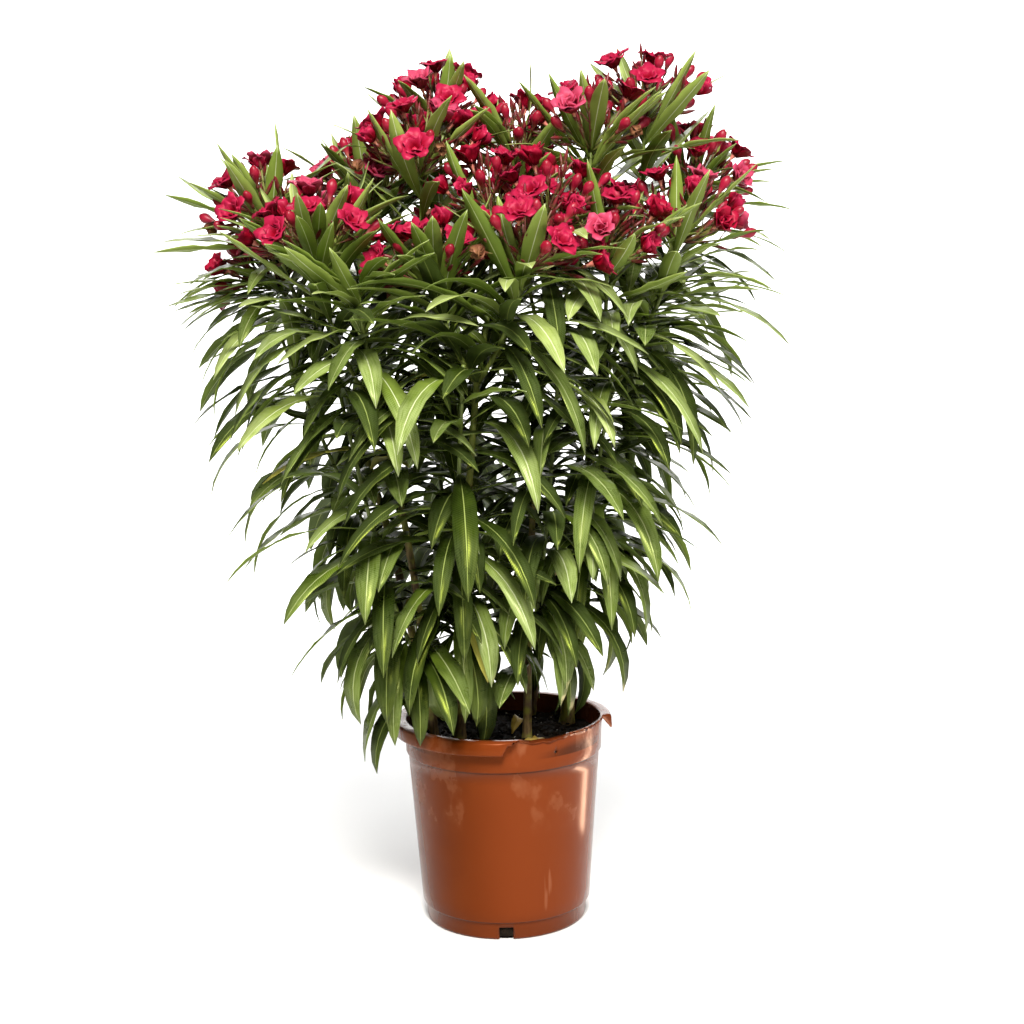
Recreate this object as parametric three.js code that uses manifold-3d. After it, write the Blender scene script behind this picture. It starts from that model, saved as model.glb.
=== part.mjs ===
// A potted oleander: an evergreen shrub of seven stems in a thin plastic nursery pot. Each stem
// leans out to a fork of three boughs, and each bough carries a shoot of long leaves in whorls of
// three, most of them ending in a head of red flowers. Side shoots clothe the stems lower down.
// Millimetres, +Z up. The origin is the centre of the pot's flat underside, and -Y is the front.

import * as THREE from "three";
import { mergeVertices } from "three/addons/utils/BufferGeometryUtils.js";
import Module from "manifold-3d";

const wasm = await Module();
wasm.setup();
const { Manifold, Mesh } = wasm;

// ---- Driving dimensions ----------------------------------------------------------------------

const CLEARANCE = 0.3; // between pieces that touch in the real plant
const LEAST_EDGE = 0.02; // a join that would leave a shorter edge isn't made
const SOIL_TOP = 203;

const POT = {
  height: 223,
  wall: 2.4,
  floor: 3,
  footRadius: 88.3,
  footTopRadius: 89.6,
  footHeight: 19,
  bodyFootRadius: 92.6, // the wall stands out over its foot
  bodyTop: 186,
  bodyTopRadius: 105.2,
  collarStep: 2.4,
  collarTopRadius: 109,
  rimRadius: 120,
  rimDrop: 15, // height of the turned-down rim
  rimEdge: 1.2, // bevel of its upper edge
  rimSplay: 0.5, // how far its lower edge stands out
  sides: 32,
  notches: { count: 4, width: 15, height: 14, depth: 12 },
  tear: { from: -84, to: -4 }, // degrees round the rim where its turned-down edge is broken away
  dip: { from: -82, to: -50, depth: 6 }, // and where the wall's top edge is gone too
};

// The stems, each from its foot on the soil to its fork. A shoot is told by the place of its
// flower head, and a side shoot by its direction and by how far up its stem it leaves and ends,
// as shares of the stem: above 1 it ends higher than the fork.
const STEMS = [
  {
    name: "front", foot: [-47, -18], fork: [-18, -112, 590], radius: 5, turn: -58,
    shoots: [
      { name: "left", head: [-62, -100, 752], blooms: true },
      { name: "right", head: [44, -128, 765], blooms: true },
      { name: "inner", head: [2, -45, 822], blooms: true },
    ],
    sides: [{ name: "low", azimuth: -110, from: 0.28, to: 1.06 }],
  },
  {
    name: "left_front", foot: [-72, -50], fork: [-118, -84, 560], radius: 4.6, turn: -62,
    shoots: [
      { name: "left", head: [-184, -96, 782], blooms: true },
      { name: "front", head: [-134, -150, 748], blooms: false },
      { name: "inner", head: [-78, -38, 878], blooms: true },
    ],
    sides: [{ name: "low", azimuth: -140, from: 0.26, to: 1.1 }],
  },
  {
    name: "left", foot: [-82, 22], fork: [-184, 38, 620], radius: 5, turn: -150,
    shoots: [
      { name: "front", head: [-248, -20, 816], blooms: true },
      { name: "outer", head: [-270, 52, 752], blooms: true },
      { name: "inner", head: [-138, 70, 850], blooms: true },
    ],
    sides: [{ name: "low", azimuth: -170, from: 0.46, to: 1.06 }],
  },
  {
    name: "right", foot: [72, 46], fork: [112, 4, 560], radius: 6.6, turn: -50,
    shoots: [
      { name: "front", head: [118, -84, 776], blooms: true },
      { name: "outer", head: [214, -22, 798], blooms: true },
      { name: "side", head: [198, 70, 726], blooms: false },
    ],
    sides: [
      { name: "low", azimuth: -85, from: 0.44, to: 1.12 },
      { name: "high", azimuth: 100, from: 0.54, to: 1.2 },
    ],
  },
  {
    name: "centre", foot: [26, -24], fork: [50, -22, 632], radius: 4.2, turn: -110,
    shoots: [
      { name: "back", head: [26, 40, 892], blooms: true },
      { name: "right", head: [102, 2, 902], blooms: true },
      { name: "front", head: [62, -96, 806], blooms: true },
    ],
    sides: [{ name: "low", azimuth: -65, from: 0.26, to: 1.04 }],
  },
  {
    name: "back_left", foot: [-28, 58], fork: [-58, 112, 650], radius: 5.2, turn: 60,
    shoots: [
      { name: "front", head: [-56, 58, 926], blooms: true },
      { name: "left", head: [-128, 130, 868], blooms: true },
      { name: "back", head: [-16, 206, 800], blooms: true },
    ],
    sides: [
      { name: "low", azimuth: 140, from: 0.36, to: 1.06 },
      { name: "high", azimuth: 80, from: 0.48, to: 1.1 },
    ],
  },
  {
    name: "back_right", foot: [30, 76], fork: [146, 118, 640], radius: 5, turn: 20,
    shoots: [
      { name: "front", head: [166, 52, 936], blooms: true },
      { name: "outer", head: [246, 124, 862], blooms: true },
      { name: "back", head: [112, 204, 812], blooms: true },
    ],
    sides: [{ name: "low", azimuth: 75, from: 0.44, to: 1.08 }],
  },
];

const STEM = {
  sides: 6,
  steps: 6,
  crowding: 1.6, // above 1, the steps crowd towards the foot
  knee: { share: 0.3, height: 0.58 }, // on the way to the fork, across and up
  taper: 0.66,
  flare: 1.6,
  flareHeight: 0.05, // share of the stem's length
  depth: 8, // how far below the soil's top it is drawn before it is cut off flat
};
const FORK = { lean: 38, stub: 22, reach: 0.45, swelling: 1.3 }; // how the shoots part at a fork

// The bare first part of a shoot. slimness: its thickness as a share of its stem's at the fork.
const BOUGH = { share: 0.27, slimness: 0.84, sides: 5, steps: 2, taper: 0.8 };
const TWIG = { sides: 3, steps: 3, radius: 3, taper: 0.8 };
// Whorls stand between two shares of their twig, and their leaves' ages run from one to the other.
const SHOOT = { whorls: 5, between: [0.08, 0.97], ages: [0.34, 1], headStalk: 60, headSeat: 0.985 };
// knee and reach: how far a side shoot stands off its stem, first as a share and at its end.
const SIDE = { whorls: 7, between: [0.14, 0.98], ages: [0, 0.5], knee: 0.7, reach: 42 };

// A leaf from the oldest, low on the plant, to the youngest, at a shoot's tip. Angles in degrees:
// spread is from the shoot's own direction, droop is how far the leaf bends down along its length.
const LEAF = {
  perWhorl: 3,
  whorlTurn: 75,
  length: { oldest: 125, longest: 164, youngest: 108, longestAge: 0.36 },
  width: [32, 25],
  spread: [82, 48],
  droop: [106, 18],
  thickness: 1.6, // from its middle to its keel
  fold: 0.16, // how far the edges lift, as a share of the width
  rootShare: 0.22, // of the way to the first section, which is left out of its room
  rootDepth: 0.5, // how far behind the middle of the twig it starts
  scatter: { turn: 15, spread: 9, droop: 18, sweep: 16, length: 0.12, roll: 22 },
  arched: [[1 / 3, 0.92], [2 / 3, 0.84]], // sections, as share of the length and of the width
  straight: [[1 / 2, 1]], // the same for a leaf that droops less than
  straightBelow: 50, // degrees
  tries: 6,
  swing: 13, // degrees that a leaf turns aside at every second try
};

const HEAD = {
  places: 10, // of flowers and buds in a full head
  every: 2, // the solids fill every second place
  budEvery: 3, // and every third of those is a bud
  openness: 74, // degrees from the head's direction to its outermost flower
  stalkRadius: 1.4,
  thickest: 0.15, // where a stalk is thickest, as a share of its length
  reach: [0.74, 1], // how far a flower stands from the head's foot, as shares of the stalk
};
const BLOOM = { petals: 5, radius: 20, depth: 22, valley: 13, lobe: 16, dip: 9, root: -2, joint: 3 };
const BUD = { radius: 4.2, length: 24, sides: 4, thickest: 0.6 };

const COLOURS = {
  pot: 0x9c4a26,
  soil: 0x1d1510,
  stem: 0x5a4526,
  bough: 0x66752c,
  leaves: 0x3d6418,
};

// ---- Small helpers ---------------------------------------------------------------------------

const UP = new THREE.Vector3(0, 0, 1);
const RIGHT = new THREE.Vector3(1, 0, 0);
const radians = THREE.MathUtils.degToRad;
const mix = THREE.MathUtils.lerp;
const vector = (p) => new THREE.Vector3(...p);

// A fixed scatter: the same number between 0 and 1 for the same seed, on every run.
function chance(seed) {
  const wave = Math.sin(seed * 12.9898) * 43758.5453;
  return wave - Math.floor(wave);
}
const either = (seed) => 2 * chance(seed) - 1; // between -1 and 1

// Turns a closed geometry into a solid, dropping the faces that collapse at an axis or a tip.
function solidOf(geometry) {
  const bare = geometry.clone();
  bare.deleteAttribute("normal");
  bare.deleteAttribute("uv");
  const merged = mergeVertices(bare, 1e-4);
  const corners = [];
  const index = merged.index.array;
  for (let i = 0; i < index.length; i += 3) {
    const [a, b, c] = [index[i], index[i + 1], index[i + 2]];
    if (a !== b && b !== c && c !== a) corners.push(a, b, c);
  }
  return new Manifold(
    new Mesh({
      numProp: 3,
      vertProperties: merged.attributes.position.array,
      triVerts: new Uint32Array(corners),
    }),
  );
}

// The geometry of a solid, for its node.
function geometryOf(solid) {
  const mesh = solid.getMesh();
  const positions = new Float32Array(mesh.numVert * 3);
  for (let i = 0; i < mesh.numVert; i++) {
    positions.set(mesh.vertProperties.subarray(i * mesh.numProp, i * mesh.numProp + 3), i * 3);
  }
  return new THREE.BufferGeometry()
    .setAttribute("position", new THREE.BufferAttribute(positions, 3))
    .setIndex(new THREE.BufferAttribute(mesh.triVerts, 1));
}

// Bends a unit cylinder into shape: place(t, x, y) says where the point goes that lies at the
// share t of its height and at (x, y) on the unit circle.
function bend(sides, steps, place) {
  const geometry = new THREE.CylinderGeometry(1, 1, 1, sides, steps);
  const position = geometry.attributes.position;
  for (let i = 0; i < position.count; i++) {
    const t = position.getY(i) + 0.5;
    const p = place(t, position.getX(i), -position.getZ(i));
    position.setXYZ(i, p.x, p.y, p.z);
  }
  return solidOf(geometry);
}

// Two directions square to an axis, the first as near +X as it can be.
function squareTo(axis) {
  const across = RIGHT.clone().addScaledVector(axis, -axis.dot(RIGHT)).normalize();
  return [across, axis.clone().cross(across)];
}

// A tapering limb along a curve, between two shares of it. radius(t) is for t from 0 to 1.
function limb(curve, from, to, radius, sides, steps, crowding = 1) {
  return bend(sides, steps, (height, x, y) => {
    const t = height ** crowding;
    const share = mix(from, to, t);
    const [across, beyond] = squareTo(curve.getTangent(share));
    return curve
      .getPoint(share)
      .addScaledVector(across, x * radius(t))
      .addScaledVector(beyond, y * radius(t));
  });
}

// ---- The pot and its soil --------------------------------------------------------------------

function lathe(profile) {
  const points = profile.map(([radius, height]) => new THREE.Vector2(radius, height));
  return solidOf(new THREE.LatheGeometry(points, POT.sides).rotateX(Math.PI / 2));
}

// A block that covers the stretch of a ring between two directions round the pot.
function ringSector(inner, outer, low, high, fromDegrees, toDegrees) {
  const shape = new THREE.Shape();
  shape.absarc(0, 0, outer, radians(fromDegrees), radians(toDegrees), false);
  shape.absarc(0, 0, inner, radians(toDegrees), radians(fromDegrees), true);
  shape.closePath();
  const geometry = new THREE.ExtrudeGeometry(shape, {
    depth: high - low,
    bevelEnabled: false,
    curveSegments: 12,
  });
  return solidOf(geometry.translate(0, 0, low));
}

// The inside of the wall as (radius, height), from the floor to a height.
function wallInside(top, clearance) {
  const collarFootRadius = POT.bodyTopRadius + POT.collarStep;
  const upCollar = (top - POT.bodyTop) / (POT.height - POT.bodyTop);
  const at = (radius, height) => [radius - POT.wall - clearance, height];
  return [
    at(POT.footRadius, POT.floor + clearance),
    at(POT.footTopRadius, POT.footHeight),
    at(POT.bodyFootRadius, POT.footHeight + POT.wall),
    at(POT.bodyTopRadius, POT.bodyTop),
    at(collarFootRadius, POT.bodyTop + POT.wall),
    at(mix(collarFootRadius, POT.collarTopRadius, upCollar), top),
  ];
}

function pot() {
  const rimFoot = POT.height - POT.rimDrop;
  const flangeUnder = POT.height - POT.wall;
  let solid = lathe([
    [0, 0],
    [POT.footRadius, 0],
    [POT.footTopRadius, POT.footHeight],
    [POT.bodyFootRadius, POT.footHeight + 1],
    [POT.bodyTopRadius, POT.bodyTop],
    [POT.bodyTopRadius + POT.collarStep, POT.bodyTop + 2],
    [POT.collarTopRadius, flangeUnder],
    [POT.rimRadius - POT.wall, flangeUnder],
    [POT.rimRadius - POT.wall + POT.rimSplay, rimFoot],
    [POT.rimRadius + POT.rimSplay, rimFoot],
    [POT.rimRadius, POT.height - POT.rimEdge],
    [POT.rimRadius - POT.rimEdge, POT.height],
    ...wallInside(POT.height, 0).reverse(),
    [0, POT.floor],
  ]);
  const { notches, tear, dip } = POT;
  for (let i = 0; i < notches.count; i++) {
    const block = new THREE.BoxGeometry(2 * notches.depth, notches.width, 2 * notches.height)
      .translate(POT.footRadius, 0, 0)
      .rotateZ(radians((360 * i) / notches.count - 90));
    solid = solid.subtract(solidOf(block));
  }
  const outside = POT.rimRadius + 10;
  const above = POT.height + 10;
  solid = solid.subtract(
    ringSector(POT.collarTopRadius + 0.2, outside, rimFoot - 5, above, tear.from, tear.to),
  );
  return solid.subtract(
    ringSector(POT.footRadius, outside, POT.height - dip.depth, above, dip.from, dip.to),
  );
}

function soil() {
  return lathe([
    [0, POT.floor + CLEARANCE],
    ...wallInside(SOIL_TOP, CLEARANCE),
    [0, SOIL_TOP],
  ]);
}

// ---- Stems, boughs and the curves that they follow ------------------------------------------

// A stem rises steeply from its foot and leans out towards its fork.
function stemCurve(stem) {
  const foot = new THREE.Vector3(...stem.foot, SOIL_TOP - STEM.depth);
  const fork = vector(stem.fork);
  const knee = foot.clone().lerp(fork, STEM.knee.share);
  knee.z = mix(foot.z, fork.z, STEM.knee.height);
  return new THREE.QuadraticBezierCurve3(foot, knee, fork);
}

// A shoot leaves its fork leaning out and turns up to its flower head.
function shootCurve(stem, shoot) {
  const fork = vector(stem.fork);
  const head = vector(shoot.head);
  const way = head.clone().sub(fork);
  const length = way.length();
  const outward = way.setZ(0).normalize().multiplyScalar(Math.sin(radians(FORK.lean)));
  outward.z = Math.cos(radians(FORK.lean));
  const knee = fork.clone().addScaledVector(outward, FORK.reach * length);
  return new THREE.QuadraticBezierCurve3(fork, knee, head);
}

// A side shoot leaves its stem's skin square to it and turns up beside it.
function sideCurve(stem, side) {
  const curve = stemCurve(stem);
  const azimuth = radians(side.azimuth);
  const outward = new THREE.Vector3(Math.cos(azimuth), Math.sin(azimuth), 0);
  const upStem = curve.getTangent(side.from);
  const square = outward.clone().addScaledVector(upStem, -upStem.dot(outward)).normalize();
  const seat = stemRadius(stem, side.from) + CLEARANCE;
  const start = curve.getPoint(side.from).addScaledVector(square, seat);
  const end = curve.getPoint(side.to).addScaledVector(outward, SIDE.reach);
  const knee = start.clone().addScaledVector(square, SIDE.knee * SIDE.reach);
  return new THREE.QuadraticBezierCurve3(start, knee, end);
}

function stemRadius(stem, t) {
  const flare = 1 + (STEM.flare - 1) * Math.exp(-t / STEM.flareHeight);
  return stem.radius * flare * mix(1, STEM.taper, t);
}
function boughRadius(stem, t) {
  return stem.radius * STEM.taper * BOUGH.slimness * mix(1, BOUGH.taper, t);
}

// All that lies lower than the stems' flat feet.
function belowStems() {
  const width = 2 * POT.rimRadius;
  const height = SOIL_TOP + CLEARANCE;
  return solidOf(new THREE.BoxGeometry(width, width, height).translate(0, 0, height / 2));
}

// The stem with the stubs of its three boughs at the fork.
function stemSolid(stem) {
  const curve = stemCurve(stem);
  const knuckle = new THREE.IcosahedronGeometry(FORK.swelling * stemRadius(stem, 1), 0);
  const radius = (t) => stemRadius(stem, t);
  let solid = limb(curve, 0, 1, radius, STEM.sides, STEM.steps, STEM.crowding);
  solid = solid.add(solidOf(knuckle.translate(...stem.fork)));
  for (const shoot of stem.shoots) {
    const path = shootCurve(stem, shoot);
    const end = FORK.stub / path.getLength();
    solid = solid.add(limb(path, 0, end, () => boughRadius(stem, 0), BOUGH.sides, 1));
  }
  return solid.subtract(belowStems());
}

function boughSolid(stem, shoot) {
  const path = shootCurve(stem, shoot);
  const start = (FORK.stub + CLEARANCE) / path.getLength();
  return limb(path, start, BOUGH.share, (t) => boughRadius(stem, t), BOUGH.sides, BOUGH.steps);
}

// ---- Leaves ----------------------------------------------------------------------------------

// Leaves are longest at the middle of a plant, and shorter towards its foot and its tips.
function leafLength(age) {
  const { oldest, longest, youngest, longestAge } = LEAF.length;
  if (age < longestAge) return mix(oldest, longest, age / longestAge);
  return mix(longest, youngest, (age - longestAge) / (1 - longestAge));
}

// One leaf of a whorl. age runs from 0, the oldest and lowest, to 1, the youngest.
function leafAt(base, axis, age, turnDegrees, seed) {
  const { scatter } = LEAF;
  const spread = radians(mix(...LEAF.spread, age) + scatter.spread * either(seed + 0.1));
  const turn = radians(turnDegrees + scatter.turn * either(seed + 0.2));
  const [across, beyond] = squareTo(axis);
  const way = axis
    .clone()
    .multiplyScalar(Math.cos(spread))
    .addScaledVector(across, Math.sin(spread) * Math.cos(turn))
    .addScaledVector(beyond, Math.sin(spread) * Math.sin(turn));
  return {
    base,
    azimuth: Math.atan2(way.y, way.x),
    elevation: Math.asin(THREE.MathUtils.clamp(way.z, -1, 1)),
    droop: radians(mix(...LEAF.droop, age) + scatter.droop * either(seed + 0.3)),
    sweep: radians(scatter.sweep * either(seed + 0.4)),
    roll: radians(scatter.roll * either(seed + 0.5)),
    length: leafLength(age) * (1 + scatter.length * either(seed + 0.6)),
    width: mix(...LEAF.width, age),
  };
}

// Where the midrib is at each twelfth of its length, with the leaf's direction there, its side
// and the way that its upper face looks. It bends down and sweeps sideways at an even rate.
const MIDRIB_STEPS = 12;
function midrib(leaf) {
  const places = [];
  const point = leaf.base.clone();
  for (let i = 0; i <= MIDRIB_STEPS; i++) {
    const share = i / MIDRIB_STEPS;
    const elevation = leaf.elevation - leaf.droop * share;
    const azimuth = leaf.azimuth + leaf.sweep * share;
    const along = new THREE.Vector3(
      Math.cos(azimuth) * Math.cos(elevation),
      Math.sin(azimuth) * Math.cos(elevation),
      Math.sin(elevation),
    );
    const side = new THREE.Vector3(-Math.sin(azimuth), Math.cos(azimuth), 0);
    const face = along.clone().cross(side);
    side.applyAxisAngle(along, leaf.roll * share);
    face.applyAxisAngle(along, leaf.roll * share);
    places.push({ point: point.clone(), along, side, face });
    point.addScaledVector(along, leaf.length / MIDRIB_STEPS);
  }
  return places;
}

// A leaf as a bent blade of three-sided sections, with two edges and a keel below, between a root
// that is sunk through the middle of the twig and a sharp tip.
function leafSolid(leaf) {
  return blade(leaf, 0, 0);
}

// The room that a leaf takes up outside its twig: the same blade, swollen, without its root.
function leafRoom(leaf, swell) {
  return blade(leaf, LEAF.rootShare, swell);
}

function blade(leaf, cutOff, swell) {
  const places = midrib(leaf);
  const isStraight = leaf.droop < radians(LEAF.straightBelow);
  const sections = [[0, 0], ...(isStraight ? LEAF.straight : LEAF.arched), [1, 0]];
  const rows = sections.length - 1;
  const corner = (row, x) => {
    const [share, width] = sections[row];
    const { point, along, side, face } = places[Math.round(share * MIDRIB_STEPS)];
    if (width === 0) return point.clone().addScaledVector(along, row === 0 ? -LEAF.rootDepth : 0);
    const half = (width * leaf.width) / 2 + swell;
    if (Math.abs(x) < 0.5) return point.clone().addScaledVector(face, -LEAF.thickness - swell);
    const edge = point.clone().addScaledVector(side, Math.sign(x) * half);
    return edge.addScaledVector(face, LEAF.fold * half);
  };
  return bend(3, rows, (t, x) => {
    const row = Math.round(t * rows);
    return row === 0 ? corner(0, x).lerp(corner(1, x), cutOff) : corner(row, x);
  });
}

// ---- Flowers ---------------------------------------------------------------------------------

// A frame at a point that looks along a direction.
function facing(point, direction) {
  const [across, beyond] = squareTo(direction);
  return (x, y, z) =>
    point
      .clone()
      .addScaledVector(across, x)
      .addScaledVector(beyond, y)
      .addScaledVector(direction, z);
}

// A bloom: five petals that open from a narrow tube, hollowed in the middle. Its stalk joins it
// through one side of the tube.
function bloomSolid(point, direction) {
  const points = 2 * BLOOM.petals;
  const turn = Math.PI / points;
  const aside = facing(point, direction);
  const seat = aside(BLOOM.joint * Math.cos(turn), BLOOM.joint * Math.sin(turn), 0);
  const at = facing(seat, direction);
  return bend(points, 2, (t, x, y) => {
    if (t < 0.25) return at(0, 0, BLOOM.root);
    if (t > 0.75) return at(0, 0, BLOOM.dip);
    const corner = Math.round((Math.atan2(y, x) / (2 * Math.PI)) * points + points);
    const onPetal = corner % 2 === 0;
    const radius = onPetal ? BLOOM.radius : BLOOM.valley;
    return at(x * radius, y * radius, onPetal ? BLOOM.depth : BLOOM.lobe);
  });
}

// A bud or a stalk: a slim body with a point at each end, thickest at a share of its length.
function spindle(from, direction, length, radius, sides, thickest) {
  const at = facing(from, direction);
  return bend(sides, 2, (t, x, y) => {
    const middle = t > 0.25 && t < 0.75;
    const height = middle ? thickest * length : Math.round(t) * length;
    return at(middle ? x * radius : 0, middle ? y * radius : 0, height);
  });
}

// The flowers and buds of a head, spread round its direction by the golden angle.
const GOLDEN = 137.508;
function headMembers(foot, axis, seed) {
  const [across, beyond] = squareTo(axis);
  const members = [];
  for (let j = 0; j < HEAD.places; j += HEAD.every) {
    const lean = radians(HEAD.openness) * Math.sqrt((j + 0.5) / HEAD.places);
    const turn = radians(GOLDEN * j + 360 * chance(seed));
    const way = axis
      .clone()
      .multiplyScalar(Math.cos(lean))
      .addScaledVector(across, Math.sin(lean) * Math.cos(turn))
      .addScaledVector(beyond, Math.sin(lean) * Math.sin(turn));
    const distance = SHOOT.headStalk * mix(...HEAD.reach, chance(seed + j + 0.7));
    const isBud = (j / HEAD.every) % HEAD.budEvery === HEAD.budEvery - 1;
    members.push({ point: foot.clone().addScaledVector(way, distance), way, distance, isBud });
  }
  return members;
}

// ---- Masses: a twig with its whorls of leaves and its flower head -----------------------------

// What is already in place, as solids with their boxes, so that a new leaf can be tested.
const placed = [];
function put(solid, mass = null) {
  placed.push({ solid, mass, box: solid.boundingBox() });
  return solid;
}
const apart = (a, b) => [0, 1, 2].some((i) => a.min[i] > b.max[i] || b.min[i] > a.max[i]);
function touches(solid, except = undefined) {
  const box = solid.boundingBox();
  const others = placed.filter((p) => p.mass !== except && !apart(box, p.box));
  return others.some((p) => !solid.intersect(p.solid).isEmpty());
}

// Whether two corners of a solid lie closer together than the least edge.
function hasCloseCorners(solid) {
  const { vertProperties: corners, numProp, numVert } = solid.getMesh();
  const near = (a, b, axis) => Math.abs(corners[a + axis] - corners[b + axis]) < LEAST_EDGE;
  for (let i = 1; i < numVert; i++) {
    for (let j = 0; j < i; j++) {
      const [a, b] = [i * numProp, j * numProp];
      if (near(a, b, 0) && near(a, b, 1) && near(a, b, 2)) return true;
    }
  }
  return false;
}

const masses = new Map(); // name of the mass, and its solid so far
const pending = []; // the leaves still to be placed
const heads = []; // and the flower heads
function fuse(mass, solid) {
  const joined = masses.has(mass) ? masses.get(mass).add(solid) : solid;
  if (hasCloseCorners(joined)) return false;
  masses.set(mass, joined);
  return true;
}

// Plans the whorls of leaves along a twig, between two shares of its curve.
function whorls(mass, curve, from, to, count, ages, turn, seed) {
  for (let k = 0; k < count; k++) {
    const share = k / (count - 1);
    const t = mix(from, to, share);
    for (let i = 0; i < LEAF.perWhorl; i++) {
      const degrees = turn + LEAF.whorlTurn * 2 * k + (360 / LEAF.perWhorl) * i;
      const leafSeed = seed + 7 * k + i;
      const age = mix(...ages, share);
      const [base, axis] = [curve.getPoint(t), curve.getTangent(t)];
      pending.push({ mass, base, axis, age, degrees, leafSeed });
    }
  }
}

// Places a leaf if it has room, turning it a little at each try, and otherwise leaves it out.
function placeLeaf({ mass, base, axis, age, degrees, leafSeed }) {
  for (let n = 0; n < LEAF.tries; n++) {
    const swing = (n % 2 ? 1 : -1) * Math.ceil(n / 2) * LEAF.swing;
    const leaf = leafAt(base, axis, age, degrees + swing, leafSeed);
    const room = leafRoom(leaf, CLEARANCE);
    const solid = leafSolid(leaf);
    if (!touches(room) && !touches(solid, mass) && fuse(mass, solid)) {
      put(room, mass);
      put(solid, mass);
      return true;
    }
  }
  return false;
}

const twigRadius = (t) => TWIG.radius * mix(1, TWIG.taper, t);

// The leafy top of a shoot, from its bough's end, with the flower head that ends it.
function planShoot(stem, shoot, seed) {
  const name = `leaves_${stem.name}_${shoot.name}`;
  const path = shootCurve(stem, shoot);
  const length = path.getLength();
  const start = BOUGH.share + CLEARANCE / length;
  const end = 1 - SHOOT.headStalk / length;
  fuse(name, put(limb(path, start, end, twigRadius, TWIG.sides, TWIG.steps), name));
  const [first, last] = SHOOT.between.map((share) => mix(start, end, share));
  whorls(name, path, first, last, SHOOT.whorls, SHOOT.ages, stem.turn, seed);
  const foot = path.getPoint(mix(start, end, SHOOT.headSeat));
  if (shoot.blooms) heads.push({ mass: name, foot, axis: path.getTangent(end), seed });
}

// Places the flowers and buds of a head that have room, each on its stalk.
function placeHead({ mass, foot, axis, seed }) {
  for (const { point, way, distance, isBud } of headMembers(foot, axis, seed)) {
    const flower = isBud
      ? spindle(point, way, BUD.length, BUD.radius, BUD.sides, BUD.thickest)
      : bloomSolid(point, way);
    const stalk = spindle(foot, way, distance + BLOOM.dip, HEAD.stalkRadius, 3, HEAD.thickest);
    if (touches(flower) || touches(stalk, mass) || !fuse(mass, flower.add(stalk))) continue;
    put(flower, mass);
    put(stalk, mass);
  }
}

// A side shoot, whose older leaves hang.
function planSide(stem, side, seed) {
  const name = `leaves_${stem.name}_${side.name}`;
  const curve = sideCurve(stem, side);
  fuse(name, put(limb(curve, 0, 1, twigRadius, TWIG.sides, TWIG.steps), name));
  whorls(name, curve, ...SIDE.between, SIDE.whorls, SIDE.ages, stem.turn, seed);
}

// ---- Assembly ---------------------------------------------------------------------------------

const plant = new THREE.Group();
function addNode(name, solid, colour, roughness) {
  const material = new THREE.MeshStandardMaterial({ color: colour, roughness, metalness: 0 });
  const mesh = new THREE.Mesh(geometryOf(solid), material);
  mesh.name = name;
  plant.add(mesh);
}

addNode("pot", put(pot()), COLOURS.pot, 0.45);
addNode("soil", put(soil()), COLOURS.soil, 1);
for (const stem of STEMS) {
  addNode(`stem_${stem.name}`, put(stemSolid(stem)), COLOURS.stem, 0.85);
  for (const shoot of stem.shoots) {
    addNode(`bough_${stem.name}_${shoot.name}`, put(boughSolid(stem, shoot)), COLOURS.bough, 0.7);
  }
}
STEMS.forEach((stem, s) => {
  stem.shoots.forEach((shoot, k) => planShoot(stem, shoot, 1000 * (s + 1) + 100 * k));
  stem.sides.forEach((side, k) => planSide(stem, side, 1000 * (s + 1) + 500 + 100 * k));
});
heads.forEach(placeHead);
pending.forEach(placeLeaf);
for (const [name, solid] of masses) {
  const bodies = solid.decompose().sort((a, b) => b.volume() - a.volume());
  addNode(name, bodies[0], COLOURS.leaves, 0.5);
}

export default plant;
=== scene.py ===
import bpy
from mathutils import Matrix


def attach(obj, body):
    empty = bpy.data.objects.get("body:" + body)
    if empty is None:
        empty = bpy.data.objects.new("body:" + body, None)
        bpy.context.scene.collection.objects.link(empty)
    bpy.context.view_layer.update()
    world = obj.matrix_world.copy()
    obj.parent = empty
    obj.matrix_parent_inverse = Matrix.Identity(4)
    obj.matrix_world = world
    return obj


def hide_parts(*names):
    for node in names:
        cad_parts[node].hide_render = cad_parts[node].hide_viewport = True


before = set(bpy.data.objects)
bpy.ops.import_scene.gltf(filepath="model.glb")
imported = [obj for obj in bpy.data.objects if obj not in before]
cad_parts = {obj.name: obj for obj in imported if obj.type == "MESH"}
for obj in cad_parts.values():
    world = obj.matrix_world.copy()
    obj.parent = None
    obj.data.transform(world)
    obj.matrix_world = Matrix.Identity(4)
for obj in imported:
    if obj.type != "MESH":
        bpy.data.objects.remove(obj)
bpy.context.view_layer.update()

import math

import bmesh
import bpy
import numpy as np
from mathutils import Matrix, Vector, noise
from mathutils.bvhtree import BVHTree

# ==== Camera, floor and light ===================================================================
# A pale floor that sweeps up behind the plant, as in a small studio. One soft lamp stands high in
# front, a weaker one to the right, a narrow one glances off the pot, and one lights the sweep.

CAMERA_PLACE = (0.01458, -1.63716, 0.62916)
CAMERA_TILT = 83.66
CAMERA_ROLL = -1.1185
CAMERA_LENS = 53.27
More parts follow.
